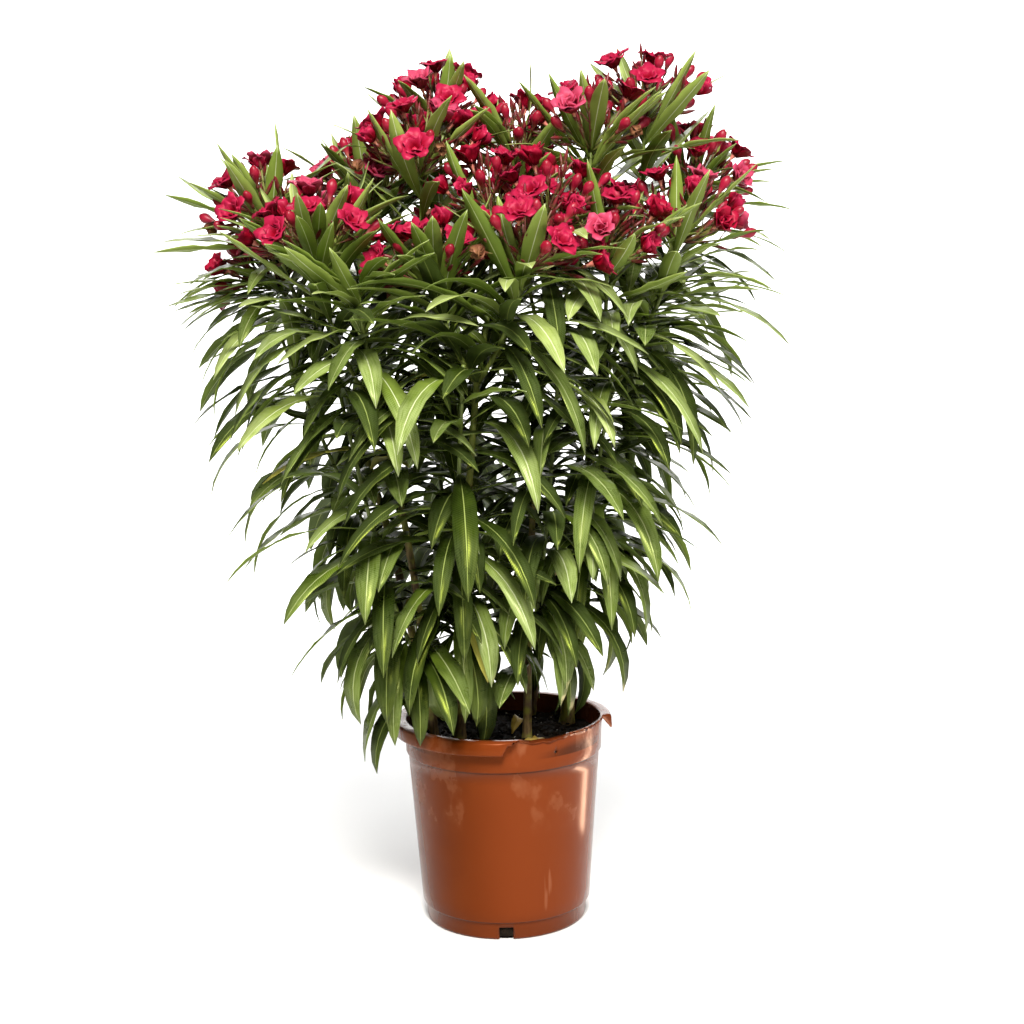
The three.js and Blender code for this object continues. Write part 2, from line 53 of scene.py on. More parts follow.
# Each lamp: its place, what it is aimed at, width, height, watts, colour, and if it is for gloss.
LAMPS = {
    "key_lamp": ((0.04, -2.15, 2.5), (0, 0, 0.6), 1.0, 1.0, 180, (1.0, 0.98, 0.92), False),
    "side_lamp": ((1.9, -1.2, 1.3), (0, 0, 0.5), 0.8, 1.6, 14, (1.0, 0.97, 0.94), False),
    "strip_lamp": ((0.217, 0.018, 0.11), (0.097, -0.055, 0.17), 0.03, 0.12, 0.22, (1.0, 0.72, 0.5), True),
    "back_lamp": ((0.0, 1.6, 3.2), (0, 4.6, 1.2), 4.0, 1.0, 330, (1, 1, 1), False),
}
ROOM_LIGHT = 0.06
FLOOR_WIDTH, FLOOR_FRONT, FLOOR_LENGTH = 4.6, -2.4, 9.9
FLOOR_ROWS = 60
SWEEP_START, SWEEP_RADIUS, SWEEP_HEIGHT = 2.6, 1.2, 2.5
FLOOR_PAINT = (0.84, 0.84, 0.84, 1)


def new_object(name, data):
    made = bpy.data.objects.new(name, data)
    bpy.context.collection.objects.link(made)
    return made


camera = new_object("camera", bpy.data.cameras.new("camera"))
camera.data.lens = CAMERA_LENS
camera.matrix_world = (
    Matrix.Translation(CAMERA_PLACE)
    @ Matrix.Rotation(math.radians(CAMERA_TILT), 4, "X")
    @ Matrix.Rotation(math.radians(CAMERA_ROLL), 4, "Z")
)
bpy.context.scene.camera = camera
bpy.context.scene.view_settings.view_transform = "Standard"

for name, (place, target, width, height, watts, colour, for_gloss) in LAMPS.items():
    lamp = bpy.data.lights.new(name, "AREA")
    lamp.shape = "RECTANGLE"
    lamp.size, lamp.size_y = width, height
    lamp.energy = watts
    lamp.color = colour
    lamp_object = new_object(name, lamp)
    lamp_object.location = place
    way = Vector(target) - Vector(place)
    lamp_object.rotation_euler = way.to_track_quat("-Z", "Y").to_euler()
    lamp_object.visible_camera = False
    lamp_object.visible_diffuse = not for_gloss

# The room is white to look at, and gives little light of its own.
world = bpy.data.worlds.new("studio")
world.use_nodes = True
background = world.node_tree.nodes["Background"]
background.inputs["Color"].default_value = (1, 1, 1, 1)
looked_at = world.node_tree.nodes.new("ShaderNodeLightPath").outputs["Is Camera Ray"]
room_light = world.node_tree.nodes.new("ShaderNodeMapRange")
room_light.inputs["To Min"].default_value = ROOM_LIGHT
room_light.inputs["To Max"].default_value = 1.0
world.node_tree.links.new(looked_at, room_light.inputs["Value"])
world.node_tree.links.new(room_light.outputs["Result"], background.inputs["Strength"])
bpy.context.scene.world = world


def finish_mesh(bm, name, smooth=True):
    """Turns a bmesh into an object."""
    mesh = bpy.data.meshes.new(name)
    bm.to_mesh(mesh)
    bm.free()
    if smooth:
        mesh.shade_smooth()
    return new_object(name, mesh)


def new_material(name, roughness, **constants):
    """A material and its Principled shader, with the constants on that shader's own sockets."""
    material = bpy.data.materials.new(name)
    material.use_nodes = True
    shader = material.node_tree.nodes["Principled BSDF"]
    shader.inputs["Roughness"].default_value = roughness
    for socket, value in constants.items():
        shader.inputs[socket.replace("_", " ")].default_value = value
    return material, shader


def build_floor():
    bm = bmesh.new()
    bmesh.ops.create_grid(bm, x_segments=2, y_segments=FLOOR_ROWS, size=0.5)
    for vert in bm.verts:
        vert.co.x *= FLOOR_WIDTH
        vert.co.y = FLOOR_FRONT + (vert.co.y + 0.5) * FLOOR_LENGTH
        past = vert.co.y - SWEEP_START
        if past > 0:
            turn = min(past / SWEEP_RADIUS, math.pi / 2)
            rise = max(past - SWEEP_RADIUS * math.pi / 2, 0)
            vert.co.y = SWEEP_START + SWEEP_RADIUS * math.sin(turn)
            vert.co.z = SWEEP_RADIUS * (1 - math.cos(turn)) + SWEEP_HEIGHT * rise
    return finish_mesh(bm, "floor")


floor = build_floor()
floor.data.materials.append(new_material("studio_floor", 0.8, Base_Color=FLOOR_PAINT)[0])

# ==== The pot ===================================================================================
# A thin injection-moulded nursery pot of terracotta-coloured plastic: a foot with drain notches,
# a tapering wall, a collar with a small step, and a turned-down rim that is torn away in front.
# It is glossy, with fine scratches from handling and dusty, scuffed patches that are partly a painted reflection;
# painted light falls on its right side and painted shade in its creases and inside.

BODY = "root"
POT_HEIGHT = 0.223
POT_WALL = 0.0022
POT_STEPS = 160
FOOT_RADIUS = 0.0883
FOOT_HEIGHT = 0.019
BODY_FOOT_RADIUS = 0.0926
BODY_FOOT_STEP = 0.0018
BODY_TOP = 0.186
BODY_TOP_RADIUS = 0.1052
COLLAR_STEP = 0.0024
COLLAR_TOP_RADIUS = 0.109
RIM_RADIUS = 0.120
RIM_DROP = 0.015
TEAR_FROM, TEAR_TO, TEAR_SLANT = -82, -4, 7
DIP_FROM, DIP_TO, DIP_DEPTH = -82, -50, 0.006
NOTCH_COUNT = 4
NOTCH_WIDTH, NOTCH_HEIGHT, NOTCH_DEPTH = 0.015, 0.014, 0.012
HOLE_RADIUS, HOLE_PLACE, HOLE_TURN = 0.0016, (0, -0.108, 0.2045), 31
PLASTIC = (0.095, 0.016, 0.001), (0.125, 0.023, 0.002)
# The paler colour of the painted light on the pot's right side.
PAINTED_LIGHT_PLASTIC = (0.170, 0.033, 0.008)
# The pale colour of the dust patches, which are partly a painted reflection.
POT_DUST_AND_REFLECTION = (0.30, 0.115, 0.055)
POT_SCRATCH = (0.5, 0.22, 0.12)
# The dark colour of the painted shade in the creases and inside, and of the darker patches low on the wall.
POT_DARKENING = (0.03, 0.009, 0.004)


def finish_piece(piece, nodes=()):
    """Says which body a piece rides on, and the CAD nodes that it stands in for."""
    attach(piece, BODY)
    if nodes:
        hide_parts(*nodes)


def smooth_step(low, high, value):
    share = min(max((value - low) / (high - low), 0.0), 1.0)
    return share * share * (3 - 2 * share)


def beside(radius, points):
    """Outline points, each told by its way past a radius, its height and its share of the rim."""
    return [(radius + past, height, share) for past, height, share in points]


def pot_profile():
    """The wall's closed outline: each point's radius, height, and how far it is on the rim."""
    flange = POT_HEIGHT - POT_WALL
    drop = POT_HEIGHT - RIM_DROP
    foot = [
        (-0.004, 0.0, 0), (-0.0008, 0.0008, 0), (0, 0.003, 0),
        (0.0012, FOOT_HEIGHT - 0.001, 0), (0.0018, FOOT_HEIGHT, 0),
    ]
    wall = []
    for i in range(1, 12):
        share = i / 12
        radius = BODY_FOOT_RADIUS + share * (BODY_TOP_RADIUS - BODY_FOOT_RADIUS)
        rise = share * (BODY_TOP - FOOT_HEIGHT - BODY_FOOT_STEP)
        wall.append((radius, FOOT_HEIGHT + BODY_FOOT_STEP + rise, 0))
    collar = [(-0.0008, BODY_TOP + 0.020, 0.05), (0, flange - 0.004, 0.1), (0.0015, flange - 0.0005, 0.3)]
    rim = [
        (-0.004, flange - 0.0003, 1), (-0.0022, flange - 0.003, 1), (-0.0018, drop + 0.0004, 1),
        (-0.0012, drop, 1), (-0.0002, drop + 0.0004, 1), (0, drop + 0.002, 1),
        (-0.0006, POT_HEIGHT - 0.003, 1), (-0.002, POT_HEIGHT - 0.0007, 1), (-0.005, POT_HEIGHT, 1),
    ]
    lip = [
        (0.001, POT_HEIGHT - 0.0002, 0.4), (-0.0016, POT_HEIGHT - 0.0006, 0.15),
        (-POT_WALL, POT_HEIGHT - 0.003, 0.1),
    ]
    inside = [
        (BODY_TOP_RADIUS + COLLAR_STEP, BODY_TOP + POT_WALL), (BODY_TOP_RADIUS, BODY_TOP),
        (BODY_FOOT_RADIUS, FOOT_HEIGHT + POT_WALL), (FOOT_RADIUS, FOOT_HEIGHT), (FOOT_RADIUS, 0.003),
    ]
    return [
        (0.0, 0.0, 0),
        *beside(FOOT_RADIUS, foot),
        *beside(BODY_FOOT_RADIUS, [(-0.0006, FOOT_HEIGHT + 0.0005, 0), (0, FOOT_HEIGHT + BODY_FOOT_STEP, 0)]),
        *wall,
        *beside(BODY_TOP_RADIUS, [(0, BODY_TOP, 0), (0.8 * COLLAR_STEP, BODY_TOP + 0.0006, 0)]),
        *beside(BODY_TOP_RADIUS + COLLAR_STEP, [(0, BODY_TOP + 0.0016, 0), (0.0004, BODY_TOP + 0.010, 0)]),
        *beside(COLLAR_TOP_RADIUS, collar),
        *beside(RIM_RADIUS, rim),
        *beside(COLLAR_TOP_RADIUS, lip),
        *((radius - POT_WALL, height, 0) for radius, height in inside),
        (0.0, 0.003, 0),
    ]


def shape_rim(vert, flange_share):
    """Draws the torn stretch of the rim in to the wall, lowers its edge and warps the wall."""
    radius = math.hypot(vert.co.x, vert.co.y)
    if radius < 1e-6:
        return
    angle = math.degrees(math.atan2(vert.co.y, vert.co.x))
    ragged = 1.6 * noise.noise(Vector((angle * 0.35, 3.1, 0))) + noise.noise(Vector((angle * 0.9, 0, 5)))
    up_rim = (vert.co.z - (POT_HEIGHT - RIM_DROP)) / RIM_DROP
    slant = TEAR_SLANT * (1 - up_rim)
    start = smooth_step(TEAR_FROM - 0.6, TEAR_FROM + 0.6, angle + slant + 0.8 * ragged)
    torn = start * (1 - smooth_step(TEAR_TO - 1.5, TEAR_TO + 1.5, angle + 2 * ragged))
    if flange_share > 0.2:
        stub = COLLAR_TOP_RADIUS + 0.0006 + 0.0005 * ragged
        is_inner_skin = vert.co.z > POT_HEIGHT - 0.0025
        target = stub if is_inner_skin else stub - 0.0006
        radius += torn * (target - radius)
        edge = POT_HEIGHT - 0.0012 + 0.0006 * ragged
        vert.co.z += torn * (edge - vert.co.z) if not is_inner_skin else -torn * 0.0006 * abs(ragged)
    if flange_share > 0:
        dip = smooth_step(DIP_FROM, DIP_FROM + 9, angle) * (1 - smooth_step(DIP_TO - 9, DIP_TO, angle))
        depth = DIP_DEPTH * dip * (0.75 + 0.35 * ragged)
        vert.co.z -= depth * min(flange_share * 2.5, 1)
    warp = 0.0007 * math.sin(3 * math.radians(angle) + 0.6) * smooth_step(0.05, POT_HEIGHT, vert.co.z)
    scale = (radius + warp) / math.hypot(vert.co.x, vert.co.y)
    vert.co.x *= scale
    vert.co.y *= scale


def turn_profile(bm, profile, steps, share_layer=None):
    """Turns a line of points, each a radius and a height, round +Z into a closed body."""
    line = [bm.verts.new((point[0], 0, point[1])) for point in profile]
    edges = [bm.edges.new(pair) for pair in zip(line, line[1:])]
    if share_layer is not None:
        for vert, point in zip(line, profile):
            vert[share_layer] = point[2]
    bmesh.ops.spin(
        bm, geom=line + edges, axis=(0, 0, 1), cent=(0, 0, 0),
        angle=math.tau, steps=steps, use_merge=True,
    )
    bmesh.ops.remove_doubles(bm, verts=bm.verts, dist=1e-6)
    bmesh.ops.recalc_face_normals(bm, faces=bm.faces)


def build_pot():
    bm = bmesh.new()
    flange_layer = bm.verts.layers.float.new("flange")
    turn_profile(bm, pot_profile(), POT_STEPS, flange_layer)
    for vert in bm.verts:
        shape_rim(vert, vert[flange_layer])
    return finish_mesh(bm, "pot_shell")


def cut_away(piece, cutter):
    """Subtracts a closed object from a piece, and removes the cutter."""
    modifier = piece.modifiers.new("cut", "BOOLEAN")
    modifier.operation = "DIFFERENCE"
    modifier.solver = "EXACT"
    modifier.object = cutter
    bpy.context.view_layer.objects.active = piece
    bpy.ops.object.modifier_apply(modifier=modifier.name)
    bpy.data.objects.remove(cutter)


def turn_verts(bm, verts, angle, axis):
    bmesh.ops.rotate(bm, verts=verts, cent=(0, 0, 0), matrix=Matrix.Rotation(angle, 3, axis))


def build_cutters():
    """Four drain notches round the foot, and a small hole under the torn edge."""
    bm = bmesh.new()
    for i in range(NOTCH_COUNT):
        block = bmesh.ops.create_cube(bm, size=1)["verts"]
        bmesh.ops.scale(bm, verts=block, vec=(2 * NOTCH_DEPTH, NOTCH_WIDTH, 2 * NOTCH_HEIGHT))
        bmesh.ops.translate(bm, verts=block, vec=(FOOT_RADIUS, 0, 0))
        turn_verts(bm, block, math.tau * i / NOTCH_COUNT - math.pi / 2, "Z")
    hole = bmesh.ops.create_cone(
        bm, segments=12, radius1=HOLE_RADIUS, radius2=HOLE_RADIUS, depth=0.02, cap_ends=True,
    )["verts"]
    turn_verts(bm, hole, math.pi / 2, "X")
    bmesh.ops.translate(bm, verts=hole, vec=HOLE_PLACE)
    turn_verts(bm, hole, math.radians(HOLE_TURN), "Z")
    return finish_mesh(bm, "pot_cutters", smooth=False)


def feed(node, socket, value):
    """Links another socket to a node's socket, or sets it to a number, a colour or a vector."""
    target = node.inputs[socket]
    if isinstance(value, bpy.types.NodeSocket):
        node.id_data.links.new(value, target)
    elif isinstance(value, tuple):
        target.default_value = (*value, 1)[:len(target.default_value)]
    else:
        target.default_value = value


def add_node(tree, kind, sockets, **settings):
    node = tree.nodes.new(kind)
    for name, value in settings.items():
        setattr(node, name, value)
    for socket, value in sockets.items():
        feed(node, socket, value)
    return node


def object_place(shader):
    return add_node(shader.id_data, "ShaderNodeTexCoord", {}).outputs["Object"]


# The helpers below add their node to the tree that their first socket is in.
def math_node(operation, first, second=0):
    node = add_node(first.id_data, "ShaderNodeMath", {0: first, 1: second}, operation=operation)
    return node.outputs["Value"]


def times(first, second):
    return math_node("MULTIPLY", first, second)


def plus(first, second):
    return math_node("ADD", first, second)


def split_xyz(vector):
    return add_node(vector.id_data, "ShaderNodeSeparateXYZ", {"Vector": vector}).outputs


def noise_node(vector, scale, detail=3.0, roughness=0.55, stretch=None):
    """Fractal noise over a vector, which stretch scales axis by axis."""
    if stretch is not None:
        mapping = add_node(vector.id_data, "ShaderNodeMapping", {"Scale": stretch, "Vector": vector})
        vector = mapping.outputs["Vector"]
    sockets = {"Scale": scale, "Detail": detail, "Roughness": roughness, "Vector": vector}
    return add_node(vector.id_data, "ShaderNodeTexNoise", sockets).outputs["Fac"]


def ramp(value, low, high):
    """A smooth rise from 0 at low to 1 at high, or a fall where low is the greater."""
    sockets = {"From Min": low, "From Max": high, "Value": value}
    node = add_node(value.id_data, "ShaderNodeMapRange", sockets, interpolation_type="SMOOTHSTEP")
    return node.outputs["Result"]


def blend(share, first, second):
    """Mixes two colours, each a constant or a socket, by a share."""
    sockets = {"Factor": share, 6: first, 7: second}
    return add_node(share.id_data, "ShaderNodeMix", sockets, data_type="RGBA").outputs[2]


def bump(height, strength, distance):
    sockets = {"Strength": strength, "Distance": distance, "Height": height}
    return add_node(height.id_data, "ShaderNodeBump", sockets).outputs["Normal"]


def height_band(height, level, half_width):
    """A thin band of 1 round a height, and 0 away from it."""
    away = math_node("ABSOLUTE", math_node("SUBTRACT", height, level))
    return ramp(away, half_width, half_width * 0.3)


def pot_material():
    material, shader = new_material(
        "terracotta_plastic", 0.3, Specular_IOR_Level=0.2, Specular_Tint=(1.0, 0.4, 0.2, 1)
    )
    place = object_place(shader)
    side, depth, height = split_xyz(place)
    cloud = noise_node(place, 9, 2.0)
    mottle = noise_node(place, 55, 4.0)
    plastic = blend(ramp(cloud, 0.3, 0.7), *PLASTIC)
    # Painted light: the right side is painted a little redder and paler, standing for the light that falls on it.
    plastic = blend(times(ramp(side, -0.075, 0.02), 0.9), plastic, PAINTED_LIGHT_PLASTIC)
    # Dust lies in cloudy, soft-edged patches, most of it high on the left of the front. The pale patches also
    # stand for a painted reflection on the glossy wall.
    patches = noise_node(place, 26, 3.0, 0.5, (1, 1, 0.6))
    upper = ramp(height, 0.105, 0.165)
    spread = plus(times(ramp(side, -0.03, -0.07), 0.12), times(upper, 0.06))
    dust_and_reflection = ramp(plus(patches, spread), 0.60, 0.70)
    dust_and_reflection_mask = times(times(dust_and_reflection, upper), ramp(mottle, 0.25, 0.7))
    dust_and_reflection_colour = blend(times(dust_and_reflection_mask, 0.42), plastic, POT_DUST_AND_REFLECTION)
    # Scratches are long thin streaks that run nearly upright.
    streaks = noise_node(place, 75, 2.0, 0.6, (1.0, 1.0, 0.06))
    fine = noise_node(place, 14, 1.0)
    scratch = times(ramp(streaks, 0.69, 0.73), ramp(fine, 0.54, 0.62))
    marked = blend(times(scratch, 0.18), dust_and_reflection_colour, POT_SCRATCH)
    # Painted shade darkens the crease under the collar, the step over the foot and the inner wall above the soil;
    # the wall is also darker in patches towards the bottom.
    under_collar = height_band(height, BODY_TOP, 0.0016)
    crease_shade = math_node("MAXIMUM", under_collar, height_band(height, FOOT_HEIGHT + 0.0003, 0.0013))
    low = times(ramp(height, 0.03, 0.0), ramp(cloud, 0.4, 0.65))
    flat = add_node(shader.id_data, "ShaderNodeCombineXYZ", {"X": side, "Y": depth}).outputs["Vector"]
    length = add_node(shader.id_data, "ShaderNodeVectorMath", {0: flat}, operation="LENGTH")
    inside = ramp(length.outputs["Value"], 0.1082, 0.1074)
    inner_shade = times(inside, ramp(height, 0.199, 0.2))
    darkening = math_node("MAXIMUM", times(crease_shade, 0.75), times(low, 0.4))
    darkening = math_node("MAXIMUM", darkening, times(inner_shade, 0.8))
    feed(shader, "Base Color", blend(darkening, marked, POT_DARKENING))
    feed(shader, "Roughness", plus(plus(times(dust_and_reflection_mask, 0.25), times(mottle, 0.10)), 0.16))
    feed(shader, "Normal", bump(math_node("SUBTRACT", cloud, times(scratch, 0.05)), 0.25, 0.002))
    return material


pot_shell = build_pot()
cut_away(pot_shell, build_cutters())
pot_shell.data.materials.clear()
pot_shell.data.materials.append(pot_material())
finish_piece(pot_shell, ["pot"])

# ==== The soil ==================================================================================
# Dark, moist bark compost that fills the pot to two centimetres under its rim. Its top is crumbly,
# with loose lumps and a few pale grains of the mix on it.

SOIL_TOP = 0.203
SOIL_FLOOR = 0.0034
SOIL_GAP = 0.0003
SOIL_STEPS = 110
SOIL_RINGS = 34
SOIL_LUMPS, SOIL_SINK = 0.0042, 0.0022
# Loose bits on the top: how many, the smallest and largest radius, and their seed.
SOIL_CRUMBS = (420, 0.0012, 0.0042, 100)
SOIL_GRAINS = (46, 0.0006, 0.0015, 900)


def chance(seed):
    """A fixed scatter: the same number between 0 and 1 for the same seed, on every run."""
    wave = math.sin(seed * 12.9898) * 43758.5453
    return wave - math.floor(wave)


def either(seed):
    return 2 * chance(seed) - 1


def build_soil():
    bm = bmesh.new()
    reach = BODY_TOP_RADIUS + COLLAR_STEP - POT_WALL - 2 * SOIL_GAP
    wall = [
        (FOOT_RADIUS, SOIL_FLOOR),
        (FOOT_RADIUS, FOOT_HEIGHT),
        (BODY_FOOT_RADIUS, FOOT_HEIGHT + POT_WALL + 0.001),
        (BODY_TOP_RADIUS, BODY_TOP),
    ]
    outline = [(0, SOIL_FLOOR)] + [(radius - POT_WALL - SOIL_GAP, height) for radius, height in wall]
    outline += [(reach, BODY_TOP + POT_WALL + 0.001), (reach, SOIL_TOP - 0.002)]
    outline += [(reach * (1 - (i / SOIL_RINGS) ** 0.8), SOIL_TOP) for i in range(SOIL_RINGS + 1)]
    turn_profile(bm, outline, SOIL_STEPS)
    for vert in bm.verts:
        if vert.co.z > SOIL_TOP - 0.0005:
            lumps = noise.fractal(vert.co * 90, 0.9, 2.0, 4)
            vert.co.z += SOIL_LUMPS * lumps - SOIL_SINK
    return finish_mesh(bm, "compost", smooth=False)


def scatter_crumbs(name, count, smallest, largest, seed):
    """Lumps of a few faces, scattered over the top and half sunk in it."""
    bm = bmesh.new()
    for i in range(count):
        angle = math.tau * chance(seed + i)
        radius = (BODY_TOP_RADIUS - 0.006) * math.sqrt(chance(seed + i + 0.3))
        size = smallest + (largest - smallest) * chance(seed + i + 0.6) ** 2
        place = Vector((radius * math.cos(angle), radius * math.sin(angle), SOIL_TOP - 0.0012))
        lump = bmesh.ops.create_icosphere(bm, subdivisions=1, radius=size)["verts"]
        for vert in lump:
            vert.co *= 1 + 0.35 * noise.noise(vert.co * 700 + place * 1000)
        bmesh.ops.scale(bm, verts=lump, vec=(1, 0.55 + 0.4 * chance(i + 0.1), 0.6))
        turn_verts(bm, lump, math.tau * chance(seed + i + 0.8), "X")
        bmesh.ops.translate(bm, verts=lump, vec=place)
    return finish_mesh(bm, name, smooth=False)


def soil_material():
    material, shader = new_material("bark_compost", 0.9, Specular_IOR_Level=0.12)
    place = object_place(shader)
    lumps = noise_node(place, 120, 5.0, 0.6)
    fibre = noise_node(place, 420)
    tint = blend(ramp(lumps, 0.35, 0.7), (0.004, 0.003, 0.002), (0.018, 0.011, 0.006))
    feed(shader, "Base Color", blend(ramp(fibre, 0.62, 0.74), tint, (0.05, 0.028, 0.014)))
    feed(shader, "Normal", bump(plus(lumps, fibre), 0.8, 0.003))
    return material


def mottled_material(name, roughness, scale, detail, first, second, limits=None):
    """Two colours that run into one another in small patches, between limits where it has them."""
    material, shader = new_material(name, roughness)
    share = noise_node(object_place(shader), scale, detail)
    feed(shader, "Base Color", blend(ramp(share, *limits) if limits else share, first, second))
    return material


compost = build_soil()
crumbs = scatter_crumbs("compost_crumbs", *SOIL_CRUMBS)
grains = scatter_crumbs("compost_grains", *SOIL_GRAINS)
compost_look = soil_material()
compost.data.materials.append(compost_look)
crumbs.data.materials.append(compost_look)
grains.data.materials.append(
    mottled_material("pale_grains", 0.7, 300, 2.0, (0.35, 0.32, 0.27), (0.8, 0.78, 0.72))
)
finish_piece(compost, ["soil"])
finish_piece(crumbs)
finish_piece(grains)

# ==== Stems and boughs ==========================================================================
# Seven woody stems rise from the compost and lean out to forks of three boughs. The bark is smooth
# and reddish brown, with olive patches and rings of old leaf scars, and green near the shoots.

# Each stem from its foot on the soil to its fork. A shoot is told by the place of its flower head,
# and a side shoot by its direction and by how far up its stem it leaves and ends. The whorls from
# one main whorl to the next are in between, and crown has those that crowd round a head.
STEMS = [
    dict(
        name="front", foot=(-0.047, -0.018), fork=(-0.018, -0.112, 0.590), radius=0.005, turn=-58,
        shoots=[
            dict(name="left", head=(-0.062, -0.100, 0.752)),
            dict(name="right", head=(0.044, -0.128, 0.765)),
            dict(name="inner", head=(0.002, -0.045, 0.822)),
        ],
        sides=[dict(azimuth=-110, start=0.28, end=1.06)],
    ),
    dict(
        name="left_front", foot=(-0.072, -0.050), fork=(-0.118, -0.084, 0.560), radius=0.0046, turn=-62,
        shoots=[
            dict(name="left", head=(-0.184, -0.096, 0.782), crown=4),
            dict(name="front", head=(-0.134, -0.150, 0.748), blooms=False),
            dict(name="inner", head=(-0.078, -0.038, 0.878)),
        ],
        sides=[dict(azimuth=-140, start=0.26, end=1.10, between=2)],
    ),
    dict(
        name="left", foot=(-0.082, 0.022), fork=(-0.184, 0.038, 0.620), radius=0.005, turn=-150,
        shoots=[
            dict(name="front", head=(-0.248, -0.020, 0.816), crown=4),
            dict(name="outer", head=(-0.270, 0.052, 0.752), between=1, crown=5),
            dict(name="inner", head=(-0.138, 0.070, 0.850), crown=4),
        ],
        sides=[dict(azimuth=-170, start=0.46, end=1.06, between=2)],
    ),
    dict(
        name="right", foot=(0.072, 0.046), fork=(0.112, 0.004, 0.560), radius=0.0066, turn=-50,
        shoots=[
            dict(name="front", head=(0.118, -0.084, 0.776)),
            dict(name="outer", head=(0.214, -0.022, 0.798)),
            dict(name="side", head=(0.198, 0.070, 0.726), blooms=False, between=1),
        ],
        sides=[
            dict(azimuth=-85, start=0.44, end=1.12, between=2),
            dict(azimuth=100, start=0.54, end=1.20, between=2),
        ],
    ),
    dict(
        name="centre", foot=(0.026, -0.024), fork=(0.050, -0.022, 0.632), radius=0.0042, turn=-110,
        shoots=[
            dict(name="back", head=(0.026, 0.040, 0.892)),
            dict(name="right", head=(0.102, 0.002, 0.902)),
            dict(name="front", head=(0.062, -0.096, 0.806)),
        ],
        sides=[dict(azimuth=-65, start=0.26, end=1.04, between=4)],
    ),
    dict(
        name="back_left", foot=(-0.028, 0.058), fork=(-0.058, 0.112, 0.650), radius=0.0052, turn=60,
        shoots=[
            dict(name="front", head=(-0.056, 0.058, 0.926)),
            dict(name="left", head=(-0.128, 0.130, 0.868), crown=4),
            dict(name="back", head=(-0.016, 0.206, 0.800)),
        ],
        sides=[
            dict(azimuth=140, start=0.36, end=1.06, between=4),
            dict(azimuth=80, start=0.48, end=1.10, between=4),
        ],
    ),
    dict(
        name="back_right", foot=(0.030, 0.076), fork=(0.146, 0.118, 0.640), radius=0.005, turn=20,
        shoots=[
            dict(name="front", head=(0.166, 0.052, 0.936)),
            dict(name="outer", head=(0.246, 0.124, 0.862)),
            dict(name="back", head=(0.112, 0.204, 0.812)),
        ],
        sides=[dict(azimuth=75, start=0.44, end=1.08, between=2)],
    ),
]

STEM_TAPER = 0.66
STEM_FLARE = 1.6
STEM_FLARE_HEIGHT = 0.05
STEM_DEPTH = 0.008
STEM_KNEE, STEM_KNEE_HEIGHT = 0.3, 0.58
KNUCKLE = 1.25
FORK_LEAN = 38
FORK_REACH = 0.45
BOUGH_SHARE = 0.27
BOUGH_WIDTH = 0.84
BOUGH_TAPER = 0.8
STEM_RINGS = 80
BOUGH_RINGS = 20
LIMB_SIDES = 14
BARK_RELIEF = 0.00035
SCAR_SPACING = 0.034
SCAR_HEIGHT = 0.00045
SCAR_WIDTH = 0.0014
# How far a bough and its green shoot run into one another, as a share of the two.
LIMB_OVERLAP = 0.004
UP = Vector((0, 0, 1))


class Bend:
    """A curve with one knee: a quadratic Bezier from start to end."""

    def __init__(self, start, knee, end):
        self.start, self.knee, self.end = Vector(start), Vector(knee), Vector(end)
        steps = [self.point(i / 40) for i in range(41)]
        self.length = sum((b - a).length for a, b in zip(steps, steps[1:]))

    def point(self, t):
        return (1 - t) ** 2 * self.start + 2 * t * (1 - t) * self.knee + t * t * self.end

    def tangent(self, t):
        way = (1 - t) * (self.knee - self.start) + t * (self.end - self.knee)
        return way.normalized()


def mix(low, high, share):
    return low + (high - low) * share


def square_to(axis):
    """Two directions square to an axis, the first as near +X as it can be."""
    across = (Vector((1, 0, 0)) - axis * axis.x).normalized()
    return across, axis.cross(across)


def round_axis(axis, turn):
    """The direction square to an axis, at a turn round it."""
    across, beyond = square_to(axis)
    return across * math.cos(turn) + beyond * math.sin(turn)


def stem_curve(stem):
    foot = Vector((*stem["foot"], SOIL_TOP - STEM_DEPTH))
    fork = Vector(stem["fork"])
    knee = foot.lerp(fork, STEM_KNEE)
    knee.z = mix(foot.z, fork.z, STEM_KNEE_HEIGHT)
    return Bend(foot, knee, fork)


def shoot_curve(stem, shoot):
    fork = Vector(stem["fork"])
    head = Vector(shoot["head"])
    way = head - fork
    outward = Vector((way.x, way.y, 0)).normalized() * math.sin(math.radians(FORK_LEAN))
    outward.z = math.cos(math.radians(FORK_LEAN))
    return Bend(fork, fork + outward * FORK_REACH * way.length, head)


def stem_radius(stem, t):
    flare = 1 + (STEM_FLARE - 1) * math.exp(-t / STEM_FLARE_HEIGHT)
    return stem["radius"] * flare * mix(1, STEM_TAPER, t)


def bough_radius(stem, t):
    return stem["radius"] * STEM_TAPER * BOUGH_WIDTH * mix(1, BOUGH_TAPER, t)


def tube_bmesh(rings, sides):
    """A closed tube of unit radius from z = 0 to 1, cut into rings of equal height."""
    bm = bmesh.new()
    bmesh.ops.create_cone(bm, cap_ends=True, segments=sides, radius1=1, radius2=1, depth=1)
    bmesh.ops.translate(bm, verts=bm.verts, vec=(0, 0, 0.5))
    for k in range(1, rings):
        everything = bm.verts[:] + bm.edges[:] + bm.faces[:]
        bmesh.ops.bisect_plane(bm, geom=everything, dist=1e-5, plane_co=(0, 0, k / rings), plane_no=(0, 0, 1))
    return bm


